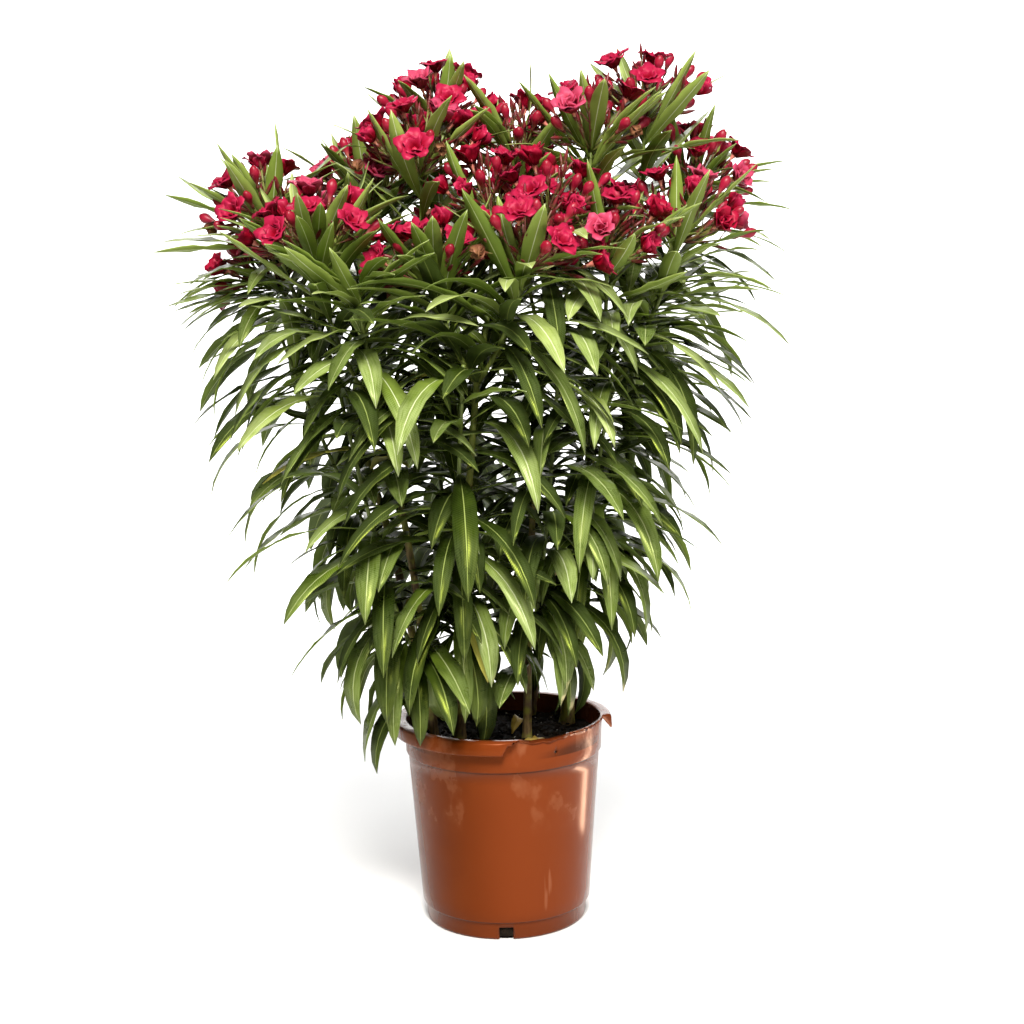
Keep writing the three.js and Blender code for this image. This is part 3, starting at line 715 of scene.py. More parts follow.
def grow_limb(bm, curve, end, radius, rings, seed):
    """Adds a limb along a curve, with a wavering skin and a ring at each old leaf scar."""
    tube = tube_bmesh(rings, LIMB_SIDES)
    for vert in tube.verts:
        share = vert.co.z
        t = mix(0.0, end, share)
        side = round_axis(curve.tangent(t), math.atan2(vert.co.y, vert.co.x))
        centre = curve.point(t)
        spot = centre + side * 0.004
        grain_place = Vector((spot.x * 160, spot.y * 160, spot.z * 45 + seed))
        relief = BARK_RELIEF * noise.fractal(grain_place, 1.0, 2.0, 3)
        near_scar = abs((t * curve.length / SCAR_SPACING + 0.5) % 1 - 0.5) * SCAR_SPACING
        scar = SCAR_HEIGHT * math.exp(-((near_scar / SCAR_WIDTH) ** 2))
        vert.co = centre + side * (radius(share) + relief + scar)
    limb = bpy.data.meshes.new("limb")
    tube.to_mesh(limb)
    tube.free()
    bm.from_mesh(limb)
    bpy.data.meshes.remove(limb)


def build_stem(stem, seed):
    """A stem, the knuckle at its fork and its three boughs."""
    bm = bmesh.new()
    grow_limb(bm, stem_curve(stem), 1.0, lambda t: stem_radius(stem, t), STEM_RINGS, seed)
    knuckle = bmesh.ops.create_icosphere(bm, subdivisions=3, radius=KNUCKLE * stem_radius(stem, 1))["verts"]
    bmesh.ops.translate(bm, verts=knuckle, vec=stem["fork"])
    for i, shoot in enumerate(stem["shoots"]):
        path = shoot_curve(stem, shoot)
        end = BOUGH_SHARE + LIMB_OVERLAP
        grow_limb(bm, path, end, lambda t: bough_radius(stem, t), BOUGH_RINGS, seed + i + 1)
    bmesh.ops.recalc_face_normals(bm, faces=bm.faces)
    return finish_mesh(bm, "bark_" + stem["name"])


def bark_material():
    material, shader = new_material("stem_bark", 0.62, Specular_IOR_Level=0.35)
    place = object_place(shader)
    height = split_xyz(place)["Z"]
    grain = noise_node(place, 260, 4.0, 0.6, (1, 1, 0.16))
    patches = noise_node(place, 38)
    wood = blend(ramp(grain, 0.3, 0.7), (0.070, 0.038, 0.014), (0.22, 0.145, 0.055))
    lichen = blend(ramp(patches, 0.47, 0.62), wood, (0.23, 0.21, 0.035))
    green = blend(ramp(grain, 0.3, 0.75), (0.110, 0.145, 0.016), (0.22, 0.25, 0.04))
    level = plus(height, times(patches, 0.16))
    feed(shader, "Base Color", blend(ramp(level, 0.44, 0.66), lichen, green))
    feed(shader, "Normal", bump(grain, 0.5, 0.0012))
    return material


stem_bark = bark_material()
for number, stem in enumerate(STEMS):
    bark = build_stem(stem, 10.0 * number)
    bark.data.materials.append(stem_bark)
    boughs = [f"bough_{stem['name']}_{shoot['name']}" for shoot in stem["shoots"]]
    finish_piece(bark, ["stem_" + stem["name"], *boughs])


# ==== Leafy shoots ==============================================================================
# Each bough goes on as a slim green shoot with leaves in whorls of three, and side shoots clothe
# the stems. Leaves low on a shoot are old and arch over; those at its tip are young and upright.

TWIG_RADIUS = 0.0027
TWIG_TAPER = 0.72
TWIG_RINGS, TWIG_SIDES = 18, 8
STEM_WHORLS, STEM_AGES, STEM_TURN = 14, (0.0, 0.3), 40
BOUGH_WHORLS, BOUGH_AGES = 3, (0.2, 0.34)
SHOOT_WHORLS, SHOOT_AGES = 4, (0.34, 1.0)
SHOOT_SPAN = (0.08, 0.97)
SIDE_WHORLS, SIDE_AGES = 6, (0.0, 0.5)
SIDE_SPAN = (0.14, 0.98)
SIDE_REACH = 0.042
HEAD_STALK = 0.060
HEAD_FOOT = 0.985
# Young leaves crowd round the foot of a flower head, and some shoots have a second such crown
# under the first: how many whorls, where on the twig they start, their ages, turn and seed.
CROWN = dict(count=3, start=0.86, ages=(0.9, 1.0), turn=60, seed=77)
LOWER_CROWN = dict(count=3, start=0.8, ages=(0.7, 0.85), turn=100, seed=57)
LEAVES_PER_WHORL = 3
WHORL_TURN = 75
LEAF_LENGTH = (0.125, 0.164, 0.108)
LEAF_LONGEST = 0.36
LEAF_WIDTH = (0.0235, 0.0160)
LEAF_STOUTNESS = (0.8, 1.2)
LEAF_SPREAD = (82, 48)
LEAF_DROOP = (106, 18)
LEAF_FOLD = 0.16
LEAF_WAVE = 0.0016
LEAF_STALK = 0.045
LEAF_ROWS = 10
LEAF_SKIN = 0.00055
LEAF_TRIES = 9
LEAF_SWING = 13
MIDRIB_STEPS = 48
SCATTER = dict(turn=15, spread=9, droop=18, sweep=16, length=0.12, roll=22)
FREE_DROOP = (-46, 14)
FREE_SPREAD = (-22, 8)
FREE_LENGTH = (-0.14, 0.04)


def side_curve(stem, side):
    curve = stem_curve(stem)
    azimuth = math.radians(side["azimuth"])
    outward = Vector((math.cos(azimuth), math.sin(azimuth), 0))
    up_stem = curve.tangent(side["start"])
    square = (outward - up_stem * up_stem.dot(outward)).normalized()
    start = curve.point(side["start"]) + square * (stem_radius(stem, side["start"]) * 0.6)
    end = curve.point(side["end"]) + outward * SIDE_REACH
    return Bend(start, start + square * 0.7 * SIDE_REACH, end)


def leaf_length(age):
    """Leaves grow longest at the middle of a shoot, and shorter towards its foot and its tip."""
    oldest, longest, youngest = LEAF_LENGTH
    if age < LEAF_LONGEST:
        return mix(oldest, longest, age / LEAF_LONGEST)
    return mix(longest, youngest, (age - LEAF_LONGEST) / (1 - LEAF_LONGEST))


def leaf_at(base, axis, age, turn_degrees, seed, free):
    """One leaf of a whorl. age runs from 0, the oldest and lowest, to 1, the youngest.
    Free leaves, of the whorls between the main ones, vary more and are smaller."""
    spread = mix(*LEAF_SPREAD, age) + SCATTER["spread"] * either(seed + 0.1)
    droop = mix(*LEAF_DROOP, age) + SCATTER["droop"] * either(seed + 0.3)
    length = leaf_length(age) * (1 + SCATTER["length"] * either(seed + 0.6))
    if free:
        spread += mix(*FREE_SPREAD, chance(seed + 0.15))
        droop += mix(*FREE_DROOP, chance(seed + 0.35))
        length *= 1 + mix(*FREE_LENGTH, chance(seed + 0.65))
    spread = math.radians(spread)
    turn = math.radians(turn_degrees + SCATTER["turn"] * either(seed + 0.2))
    way = axis * math.cos(spread) + round_axis(axis, turn) * math.sin(spread)
    return dict(
        base=base,
        azimuth=math.atan2(way.y, way.x),
        elevation=math.asin(max(-1.0, min(1.0, way.z))),
        droop=math.radians(droop),
        sweep=math.radians(SCATTER["sweep"] * either(seed + 0.4)),
        roll=math.radians(SCATTER["roll"] * either(seed + 0.5)),
        length=length,
        width=mix(*LEAF_WIDTH, age) * mix(*LEAF_STOUTNESS, chance(seed + 0.75)),
        age=age,
        seed=seed,
    )


def midrib(leaf):
    """The midrib's points, and at each the way to the leaf's side and out of its upper face."""
    share = np.linspace(0, 1, MIDRIB_STEPS + 1)
    elevation = leaf["elevation"] - leaf["droop"] * share
    azimuth = leaf["azimuth"] + leaf["sweep"] * share
    level = np.cos(elevation)
    along = np.stack([np.cos(azimuth) * level, np.sin(azimuth) * level, np.sin(elevation)], axis=1)
    side = np.stack([-np.sin(azimuth), np.cos(azimuth), np.zeros_like(azimuth)], axis=1)
    face = np.cross(along, side)
    roll = (leaf["roll"] * share)[:, None]
    side, face = side * np.cos(roll) + face * np.sin(roll), face * np.cos(roll) - side * np.sin(roll)
    step = leaf["length"] / MIDRIB_STEPS
    points = np.concatenate([[np.zeros(3)], np.cumsum(along[:-1] * step, axis=0)]) + np.array(leaf["base"])
    return share, points, side, face


def bend_leaf(flat, leaf):
    """Places a flat leaf's vertices, told as (across, along, up), on the bent midrib."""
    share, *rib = midrib(leaf)
    along = np.clip(flat[:, 1], 0, 1)
    spot, sideways, upward = (
        np.stack([np.interp(along, share, line[:, i]) for i in range(3)], axis=1) for line in rib
    )
    across = flat[:, 0] * leaf["width"]
    wave_count = 2.2 + 1.6 * chance(leaf["seed"] + 0.71)
    phase = math.tau * (wave_count * along + chance(leaf["seed"] + 0.72)) + 1.2 * np.sign(across)
    ripple = LEAF_WAVE * np.sin(phase) * np.abs(flat[:, 0]) * 2 * np.sin(math.pi * np.clip(along * 1.05, 0, 1))
    lift = LEAF_FOLD * np.abs(across) + flat[:, 2] + ripple
    return spot + sideways * across[:, None] + upward * lift[:, None]


def leaf_half_width(along):
    """A strap-like outline with a short stalk: half the width as a share of the full width."""
    if along < LEAF_STALK:
        return 0.055
    share = (along - LEAF_STALK) / 0.955
    return 0.05 * (1 - share) + 0.48 * (1 - abs(2 * share ** 1.06 - 1) ** 2.5)


def lay_uv(bm, surface_place):
    """Gives a bmesh its UV map, from where on the surface each vertex lies."""
    uv_layer = bm.loops.layers.uv.new("surface")
    for face in bm.faces:
        for loop in face.loops:
            loop[uv_layer].uv = surface_place(loop.vert)


def mesh_arrays(bm):
    """A bmesh as arrays: vertices, triangles, the triangles' materials and their corners' UVs."""
    bmesh.ops.triangulate(bm, faces=bm.faces)
    bm.verts.index_update()
    verts = np.array([vert.co for vert in bm.verts])
    faces = np.array([[loop.vert.index for loop in face.loops] for face in bm.faces])
    kinds = np.array([face.material_index for face in bm.faces])
    uvs = None
    uv_layer = bm.loops.layers.uv.active
    if uv_layer is not None:
        uvs = np.array([[loop[uv_layer].uv[:] for loop in face.loops] for face in bm.faces])
    bm.free()
    return verts, faces, kinds, uvs


def leaf_template():
    """A thin closed leaf in (across, along, up): its upper skin is material 0, its lower skin 1."""
    bm = bmesh.new()
    bmesh.ops.create_grid(bm, x_segments=2, y_segments=LEAF_ROWS, size=0.5)
    for vert in bm.verts:
        vert.co.y += 0.5
        vert.co.x = vert.co.x * 2 * leaf_half_width(vert.co.y)
    lay_uv(bm, lambda vert: (0.5 + 0.5 * vert.co.x / max(leaf_half_width(vert.co.y), 1e-4), vert.co.y))
    tip = [vert for vert in bm.verts if vert.co.y > 0.999]
    bmesh.ops.pointmerge(bm, verts=tip, merge_co=(0, 1, 0))
    bmesh.ops.solidify(bm, geom=bm.faces[:], thickness=LEAF_SKIN)
    bm.normal_update()
    for face in bm.faces:
        face.material_index = 1 if face.normal.z < -0.3 else 0
    return mesh_arrays(bm)


def join_copies(name, template, vert_sets, *materials):
    """One mesh out of many copies of a template, each with its own vertices."""
    verts, faces, kinds, uvs = template
    count = len(vert_sets)
    all_verts = np.concatenate(vert_sets)
    offsets = (np.arange(count) * len(verts))[:, None, None]
    all_faces = (faces[None] + offsets).reshape(-1, 3)
    mesh = bpy.data.meshes.new(name)
    mesh.vertices.add(len(all_verts))
    mesh.vertices.foreach_set("co", all_verts.ravel())
    mesh.loops.add(all_faces.size)
    mesh.loops.foreach_set("vertex_index", all_faces.ravel())
    mesh.polygons.add(len(all_faces))
    mesh.polygons.foreach_set("loop_start", np.arange(0, all_faces.size, 3))
    mesh.polygons.foreach_set("material_index", np.tile(kinds, count))
    mesh.polygons.foreach_set("use_smooth", np.ones(len(all_faces), bool))
    if uvs is not None:
        uv_map = mesh.uv_layers.new(name="surface")
        uv_map.data.foreach_set("uv", np.tile(uvs.reshape(-1, 2), (count, 1)).ravel())
    for material in materials:
        mesh.materials.append(material)
    mesh.update()
    mesh.validate()
    return new_object(name, mesh)


class Room:
    """What is already in place, with its boxes, so that a new leaf or flower can be tested."""

    def __init__(self):
        self.trees, self.lows, self.highs = [], [], []

    def add(self, verts, faces):
        self.trees.append(BVHTree.FromPolygons(verts.tolist(), faces.tolist()))
        self.lows.append(verts.min(axis=0))
        self.highs.append(verts.max(axis=0))

    def has(self, verts, faces):
        low, high = verts.min(axis=0), verts.max(axis=0)
        near = np.all((np.array(self.lows) <= high) & (np.array(self.highs) >= low), axis=1)
        if not near.any():
            return True
        tree = BVHTree.FromPolygons(verts.tolist(), faces.tolist())
        return not any(tree.overlap(self.trees[i]) for i in np.nonzero(near)[0])


room = Room()
for node_name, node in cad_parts.items():
    if not node_name.startswith("leaves"):
        node_verts = np.array([node.matrix_world @ vert.co for vert in node.data.vertices])
        node.data.calc_loop_triangles()
        room.add(node_verts, np.array([triangle.vertices[:] for triangle in node.data.loop_triangles]))

# A coarse strip of a leaf past its first twelfth, which is what is tested.
STRIP_ROWS = np.linspace(0.09, 1, 7)
strip_verts = np.array([(side * leaf_half_width(along), along, 0) for along in STRIP_ROWS for side in (-1, 0, 1)])
strip_faces = np.array([(a, a + 1, a + 4, a + 3) for row in range(6) for a in (3 * row, 3 * row + 1)])
strip_faces = np.concatenate([strip_faces[:, [0, 1, 2]], strip_faces[:, [0, 2, 3]]])

planned = []


def plan_whorls(curve, start, end, count, between, ages, turn, seed):
    """Whorls along a curve, of which one in every few is a main one and the rest are free."""
    for k in range(count):
        share = k / max(count - 1, 1)
        t = mix(start, end, share)
        for i in range(LEAVES_PER_WHORL):
            degrees = turn + 2 * WHORL_TURN * k / max(between, 1) + 360 / LEAVES_PER_WHORL * i
            whorl_seed = seed + 7 * k / max(between, 1) + i
            free = between == 0 or k % between > 0
            planned.append((curve.point(t), curve.tangent(t), mix(*ages, share), degrees, whorl_seed, free))


def place_leaf(base, axis, age, degrees, seed, free):
    """Places a leaf if it has room, turning it a little at each try, and otherwise leaves it out."""
    for n in range(LEAF_TRIES):
        swing = (1 if n % 2 else -1) * math.ceil(n / 2) * LEAF_SWING
        leaf = leaf_at(base, axis, age, degrees + swing, seed, free)
        strip = bend_leaf(strip_verts, leaf)
        if room.has(strip, strip_faces):
            room.add(strip, strip_faces)
            return leaf
    return None


def twig_radius(t):
    return TWIG_RADIUS * mix(1, TWIG_TAPER, t)


def bend_tube(template, curve, start, end, radius):
    """Places a tube's vertices along a curve, between two shares of it."""
    verts = template[0]
    placed = np.empty_like(verts)
    for share in np.unique(verts[:, 2].round(5)):
        ring = np.abs(verts[:, 2] - share) < 1e-4
        t = mix(start, end, float(share))
        across, beyond = square_to(curve.tangent(t))
        thick = radius(float(share))
        sides = verts[ring, :1] * np.array(across) + verts[ring, 1:2] * np.array(beyond)
        placed[ring] = np.array(curve.point(t)) + sides * thick
    return placed


TWIG_TUBE = mesh_arrays(tube_bmesh(TWIG_RINGS, TWIG_SIDES))
heads = []
twig_sets = []
for number, stem in enumerate(STEMS):
    for k, shoot in enumerate(stem["shoots"]):
        seed = 1000 * (number + 1) + 100 * k
        path = shoot_curve(stem, shoot)
        start, end = BOUGH_SHARE, 1 - HEAD_STALK / path.length
        twig_sets.append(bend_tube(TWIG_TUBE, path, start - LIMB_OVERLAP, end, twig_radius))
        between = shoot.get("between", 2)
        first, last = (mix(start, end, share) for share in SHOOT_SPAN)
        plan_whorls(path, first, last, SHOOT_WHORLS * between + 1, between, SHOOT_AGES, stem["turn"], seed)
        crowns = [dict(CROWN, count=shoot["crown"]), LOWER_CROWN] if "crown" in shoot else [CROWN]
        for crown in crowns:
            first, turn = mix(start, end, crown["start"]), stem["turn"] + crown["turn"]
            plan_whorls(path, first, end, crown["count"], 0, crown["ages"], turn, seed + crown["seed"])
        if shoot.get("blooms", True):
            heads.append(dict(foot=path.point(mix(start, end, HEAD_FOOT)), axis=path.tangent(end), seed=seed))
    for k, side in enumerate(stem["sides"]):
        seed = 1000 * (number + 1) + 500 + 100 * k
        curve = side_curve(stem, side)
        twig_sets.append(bend_tube(TWIG_TUBE, curve, 0, 1, twig_radius))
        between = side.get("between", 3)
        plan_whorls(curve, *SIDE_SPAN, SIDE_WHORLS * between + 1, between, SIDE_AGES, stem["turn"], seed)
for number, stem in enumerate(STEMS):
    seed = 20000 + 1000 * number
    lowest = min(side["start"] for side in stem["sides"]) - 0.08
    plan_whorls(stem_curve(stem), lowest, 1.0, STEM_WHORLS, 0, STEM_AGES, stem["turn"] + STEM_TURN, seed)
    for k, shoot in enumerate(stem["shoots"]):
        path, bough_seed = shoot_curve(stem, shoot), seed + 300 * (k + 1)
        plan_whorls(path, 0.3 * BOUGH_SHARE, BOUGH_SHARE, BOUGH_WHORLS, 0, BOUGH_AGES, stem["turn"], bough_seed)


twig_skin = mottled_material("green_shoots", 0.5, 60, 3.0, (0.10, 0.15, 0.02), (0.24, 0.29, 0.06))
finish_piece(join_copies("green_twigs", TWIG_TUBE, twig_sets, twig_skin))

# ==== Flower heads ==============================================================================
# A loose cluster of crimson flowers ends most shoots. The flowers are half double, cupped and
# ruffled, on pale tubes with small dark calyces, among club-shaped and slim pointed buds.

HEAD_PLACES = 10
HEAD_STEPS = 2
HEAD_BUD_EVERY = 3
HEAD_BUD_SHARE = (0.15, 0.75)
HEAD_OPENNESS = 74
HEAD_REACH = (0.74, 1.0)
GOLDEN = 137.508
BLOOM_ROOM = 0.023
BLOOM_FOOT = 0.010
OUTER_PETALS = 5
OUTER_PETAL = dict(length=0.0185, width=0.0205, foot=0.0026, cup=0.26, twist=0.25)
INNER_PETAL = dict(length=0.0140, width=0.0140, foot=0.0016, cup=0.32, twist=0.3)
PETAL_CELLS = 4
PETAL_RUFFLE = 0.0032
PETAL_SKIN = 0.00045
STALK_RINGS, STALK_SIDES = 5, 5
STALK_RADIUS, SIDE_STALK_RADIUS, SPIRE_RADIUS = 0.0011, 0.0007, 0.0012
STALK_TAPER, STALK_SAG = (1.15, 0.8), -0.003
BLOOM_LIFT, SPIRE_LIFT = 0.25, 0.3
# Of so many parts of the flowers, one is of each open shape and the rest are half open.
BLOOM_PARTS = 5.2
WITHERED_SHARE, WITHERED_SIZE, WITHERED_SAG = 0.07, 0.7, -1.3
SLIM_LEAN, SLIM_STALK = 0.75, (0.010, 0.020)
SPIRES = 3
SPIRE_LENGTH = (0.050, 0.072)
SPIRE_BUDS, SPIRE_BUD_LEAN, SPIRE_BUD_STALK = 3, 0.55, 0.008


def head_members(head):
    """The flowers and buds of a head, spread round its direction by the golden angle."""
    members = []
    bud_share = mix(*HEAD_BUD_SHARE, chance(head["seed"] + 0.77))
    for n in range(HEAD_PLACES * HEAD_STEPS):
        j = n / HEAD_STEPS
        seed = head["seed"] + j
        lean = math.radians(HEAD_OPENNESS) * math.sqrt((j + 0.5) / HEAD_PLACES)
        turn = math.radians(GOLDEN * j + 360 * chance(head["seed"]))
        way = head["axis"] * math.cos(lean) + round_axis(head["axis"], turn) * math.sin(lean)
        distance = HEAD_STALK * mix(*HEAD_REACH, chance(seed + 0.7))
        is_main = j % 2 == 0
        if is_main:
            is_bud = (j // 2) % HEAD_BUD_EVERY == HEAD_BUD_EVERY - 1
        else:
            is_bud = chance(seed + 0.83) < bud_share
        members.append(dict(point=head["foot"] + way * distance, way=way, main=is_main, bud=is_bud, seed=seed))
    return sorted(members, key=lambda member: not member["main"])


def petal_grid(bm, place_layer, petal, size, lean, turn, seed):
    """One petal: a small grid bent outwards from the tube, cupped across and ruffled at its edge."""
    length, width = petal["length"] * size, petal["width"] * size
    grid = bmesh.ops.create_grid(bm, x_segments=PETAL_CELLS, y_segments=PETAL_CELLS, size=0.5)
    for vert in grid["verts"]:
        u, v = vert.co.x * 2, vert.co.y + 0.5
        half = width / 2 * (0.22 + 0.78 * math.sin(math.pi * min(v * 0.62 + 0.06, 1)) ** 1.1)
        half *= 1 - 0.26 * max(v - 0.7, 0) / 0.3 * abs(u) ** 2
        reach = v * length * (1 - 0.13 * u * u * v)
        angle = math.radians(lean) * v ** 0.8
        radial = petal["foot"] + math.sin(angle) * reach - petal["cup"] * (u * u) * v * width
        height = math.cos(angle * 0.9) * reach
        wave = PETAL_RUFFLE * v * v * noise.noise(Vector((u * 1.3 + seed, v * 2.1, seed * 0.7)))
        edge = PETAL_RUFFLE * 0.7 * v ** 3 * math.sin(5 * u + seed * 3)
        spot = Vector((radial + wave * 0.6, u * half + petal["twist"] * v * half, height + wave + edge))
        vert.co = Matrix.Rotation(turn, 3, "Z") @ spot
        vert[place_layer] = (u, v, 0)


def thicken(bm, thickness):
    """Gives every sheet a second skin, set back equally far all over."""
    bm.normal_update()
    facing = {vert.co.to_tuple(7): vert.normal.copy() for vert in bm.verts}
    made = bmesh.ops.extrude_face_region(bm, geom=bm.faces[:], use_keep_orig=True)["geom"]
    for vert in [item for item in made if isinstance(item, bmesh.types.BMVert)]:
        vert.co -= facing[vert.co.to_tuple(7)] * thickness
    bmesh.ops.recalc_face_normals(bm, faces=bm.faces)


def bloom_template(outer_lean, inner_lean, inner_count, size, seed):
    """A flower in its own frame: the tube's foot at the origin, opening along +Z."""
    bm = bmesh.new()
    place_layer = bm.verts.layers.float_vector.new("petal_place")
    for i in range(OUTER_PETALS):
        turn = math.tau * (i + 0.12 * either(seed + i)) / OUTER_PETALS
        lean = outer_lean * (1 + 0.16 * either(seed + i + 0.4))
        petal_grid(bm, place_layer, OUTER_PETAL, size, lean, turn, seed + i)
    for i in range(inner_count):
        turn = math.tau * (i + 0.5 + 0.2 * either(seed + i + 0.2)) / inner_count
        lean = inner_lean * (1 + 0.25 * either(seed + i + 0.6))
        petal_grid(bm, place_layer, INNER_PETAL, size, lean, turn, seed + 9 + i)
    lay_uv(bm, lambda vert: (0.5 + 0.5 * vert[place_layer][0], vert[place_layer][1]))
    thicken(bm, PETAL_SKIN)
    bmesh.ops.translate(bm, verts=bm.verts, vec=(0, 0, BLOOM_FOOT * size))
    return mesh_arrays(bm)


def spindle_template(sides, profile, ridges=0.0):
    """A body turned round +Z from its (radius, height) points, with twisted ridges."""
    bm = bmesh.new()
    turn_profile(bm, profile, sides)
    top = profile[-1][1]
    for vert in bm.verts:
        share = vert.co.z / top
        turn = math.atan2(vert.co.y, vert.co.x)
        grow = 1 + ridges * math.sin(2.5 * turn + 5 * share) * max(share, 0)
        vert.co.x *= grow
        vert.co.y *= grow
    lay_uv(bm, lambda vert: (0.5 + math.atan2(vert.co.y, vert.co.x) / math.tau, vert.co.z / top))
    return mesh_arrays(bm)


# Each open flower: how far its outer and inner petals lean out, the inner ones, size and seed.
OPEN_BLOOMS = [
    bloom_template(52, 28, 4, 1.12, 1.0),
    bloom_template(44, 22, 4, 1.14, 22.0),
    bloom_template(34, 15, 3, 1.1, 43.0),
    bloom_template(60, 34, 4, 1.12, 64.0),
]
HALF_BLOOM = bloom_template(17, 8, 3, 1.0, 85.0)
TUBE = spindle_template(
    8, [(0, -0.001), (0.0010, 0), (0.0014, 0.006), (0.0030, 0.011), (0.0042, 0.015), (0, 0.016)]
)
CLUB_BUD = spindle_template(
    10, [(0, -0.001), (0.0010, 0), (0.0015, 0.006), (0.0034, 0.012), (0.0054, 0.018),
         (0.0050, 0.022), (0.0026, 0.0255), (0, 0.027)], 0.10,
)
SLIM_BUD = spindle_template(
    6, [(0, -0.001), (0.0009, 0), (0.0019, 0.004), (0.0018, 0.009), (0.0010, 0.014), (0, 0.017)], 0.05
)
CALYX = spindle_template(6, [(0, -0.0015), (0.0013, -0.001), (0.0021, 0.002), (0.0019, 0.0045), (0, 0.0046)])
STALK_TUBE = mesh_arrays(tube_bmesh(STALK_RINGS, STALK_SIDES))


def place_copy(template, point, way, spin, scale):
    """A template's vertices at a point, with its +Z turned to a way after a spin round +Z."""
    turned = Matrix((*square_to(way), way)).transposed() @ Matrix.Rotation(spin, 3, "Z")
    return (template[0] * scale) @ np.array(turned).T + np.array(point)


bloom_sets = [[] for _ in OPEN_BLOOMS]
half_set, tube_set, club_set, slim_set, calyx_set, stalk_sets, withered_set = ([] for _ in range(7))


def add_stalk(start, end, sag, radius):
    curve = Bend(start, (start + end) / 2 + UP * sag, end)
    stalk_sets.append(bend_tube(STALK_TUBE, curve, 0, 1, lambda t: radius * mix(*STALK_TAPER, t)))
    return curve


def add_slim_bud(point, way, scale, seed):
    slim_set.append(place_copy(SLIM_BUD, point, way, math.tau * chance(seed), scale))
    calyx_set.append(place_copy(CALYX, point, way, 0, 0.75 * scale))


def has_bloom_room(head, member):
    return all((member["point"] - place).length > BLOOM_ROOM for place in head["blooms"])


def add_member(head, member):
    """A flower or a bud on its stalk, and two or three slim buds beside it."""
    seed = member["seed"]
    if not member["bud"]:
        member["bud"] = not (member["main"] or has_bloom_room(head, member))
    if not member["bud"]:
        head["blooms"].append(member["point"])
    way = (member["way"] + UP * BLOOM_LIFT).normalized()
    point = member["point"]
    stalk = add_stalk(head["foot"], point, STALK_SAG, STALK_RADIUS)
    spin = math.tau * chance(seed + 0.15)
    scale = 0.92 + 0.16 * chance(seed + 0.25)
    if chance(seed + 0.95) < WITHERED_SHARE:
        limp = (way + Vector((0, 0, WITHERED_SAG))).normalized()
        withered_set.append(place_copy(HALF_BLOOM, point, limp, spin, WITHERED_SIZE * scale))
    elif member["bud"]:
        club_set.append(place_copy(CLUB_BUD, point, way, spin, scale))
    else:
        pick = int(chance(seed + 0.35) * BLOOM_PARTS)
        tube_set.append(place_copy(TUBE, point, way, spin, scale))
        if pick < len(OPEN_BLOOMS):
            bloom_sets[pick].append(place_copy(OPEN_BLOOMS[pick], point, way, spin, scale))
        else:
            half_set.append(place_copy(HALF_BLOOM, point, way, spin, scale))
    calyx_set.append(place_copy(CALYX, point, way, spin, 1.0))
    for k in range(2 + int(2 * chance(seed + 0.45))):
        start = stalk.point(0.35 + 0.5 * chance(seed + k + 0.55))
        aside = round_axis(way, math.tau * chance(seed + k + 0.65))
        outward = (way + SLIM_LEAN * aside).normalized()
        tip = start + outward * mix(*SLIM_STALK, chance(seed + k + 0.75))
        add_stalk(start, tip, 0, SIDE_STALK_RADIUS)
        add_slim_bud(tip, outward, 0.75 + 0.45 * chance(seed + k + 0.85), seed + k)


def add_spire(head, k):
    """A slim stalk that stands up from among the flowers, with a few dark buds at its tip."""
    seed = head["seed"] + 0.5 + k
    turn = math.tau * (k / SPIRES + 0.2 * chance(seed))
    lean = 0.18 + 0.3 * chance(seed + 0.1)
    way = (head["axis"] + lean * round_axis(head["axis"], turn) + UP * SPIRE_LIFT).normalized()
    tip = head["foot"] + way * mix(*SPIRE_LENGTH, chance(seed + 0.2))
    stalk = add_stalk(head["foot"], tip, 0, SPIRE_RADIUS)
    add_slim_bud(tip, way, 1.0, seed)
    for i in range(SPIRE_BUDS):
        start = stalk.point(0.72 + 0.08 * i)
        outward = (way + SPIRE_BUD_LEAN * round_axis(head["axis"], 2.1 * i + seed)).normalized()
        add_stalk(start, start + outward * SPIRE_BUD_STALK, 0, SIDE_STALK_RADIUS)
        add_slim_bud(start + outward * 0.007, outward, 0.85, seed + i)


for head in heads:
    head["blooms"] = []
    for member in head_members(head):
        add_member(head, member)
    for k in range(SPIRES):
        add_spire(head, k)

for bloom_set, template in zip(bloom_sets + [half_set], OPEN_BLOOMS + [HALF_BLOOM]):
    for verts in bloom_set:
        room.add(verts, template[1])


def new_group(name, vectors, values):
    """An empty node group that takes vectors in and gives values out."""
    group = bpy.data.node_groups.new(name, "ShaderNodeTree")
    for socket in vectors:
        group.interface.new_socket(name=socket, in_out="INPUT", socket_type="NodeSocketVector")
    for socket in values:
        group.interface.new_socket(name=socket, in_out="OUTPUT", socket_type="NodeSocketFloat")
    given = add_node(group, "NodeGroupInput", {}).outputs
    return group, given, add_node(group, "NodeGroupOutput", {})


def use_group(shader, group, **values):
    return add_node(shader.id_data, "ShaderNodeGroup", values, node_tree=group).outputs


def surface_uv(shader):
    return add_node(shader.id_data, "ShaderNodeUVMap", {}, uv_map="surface").outputs["UV"]


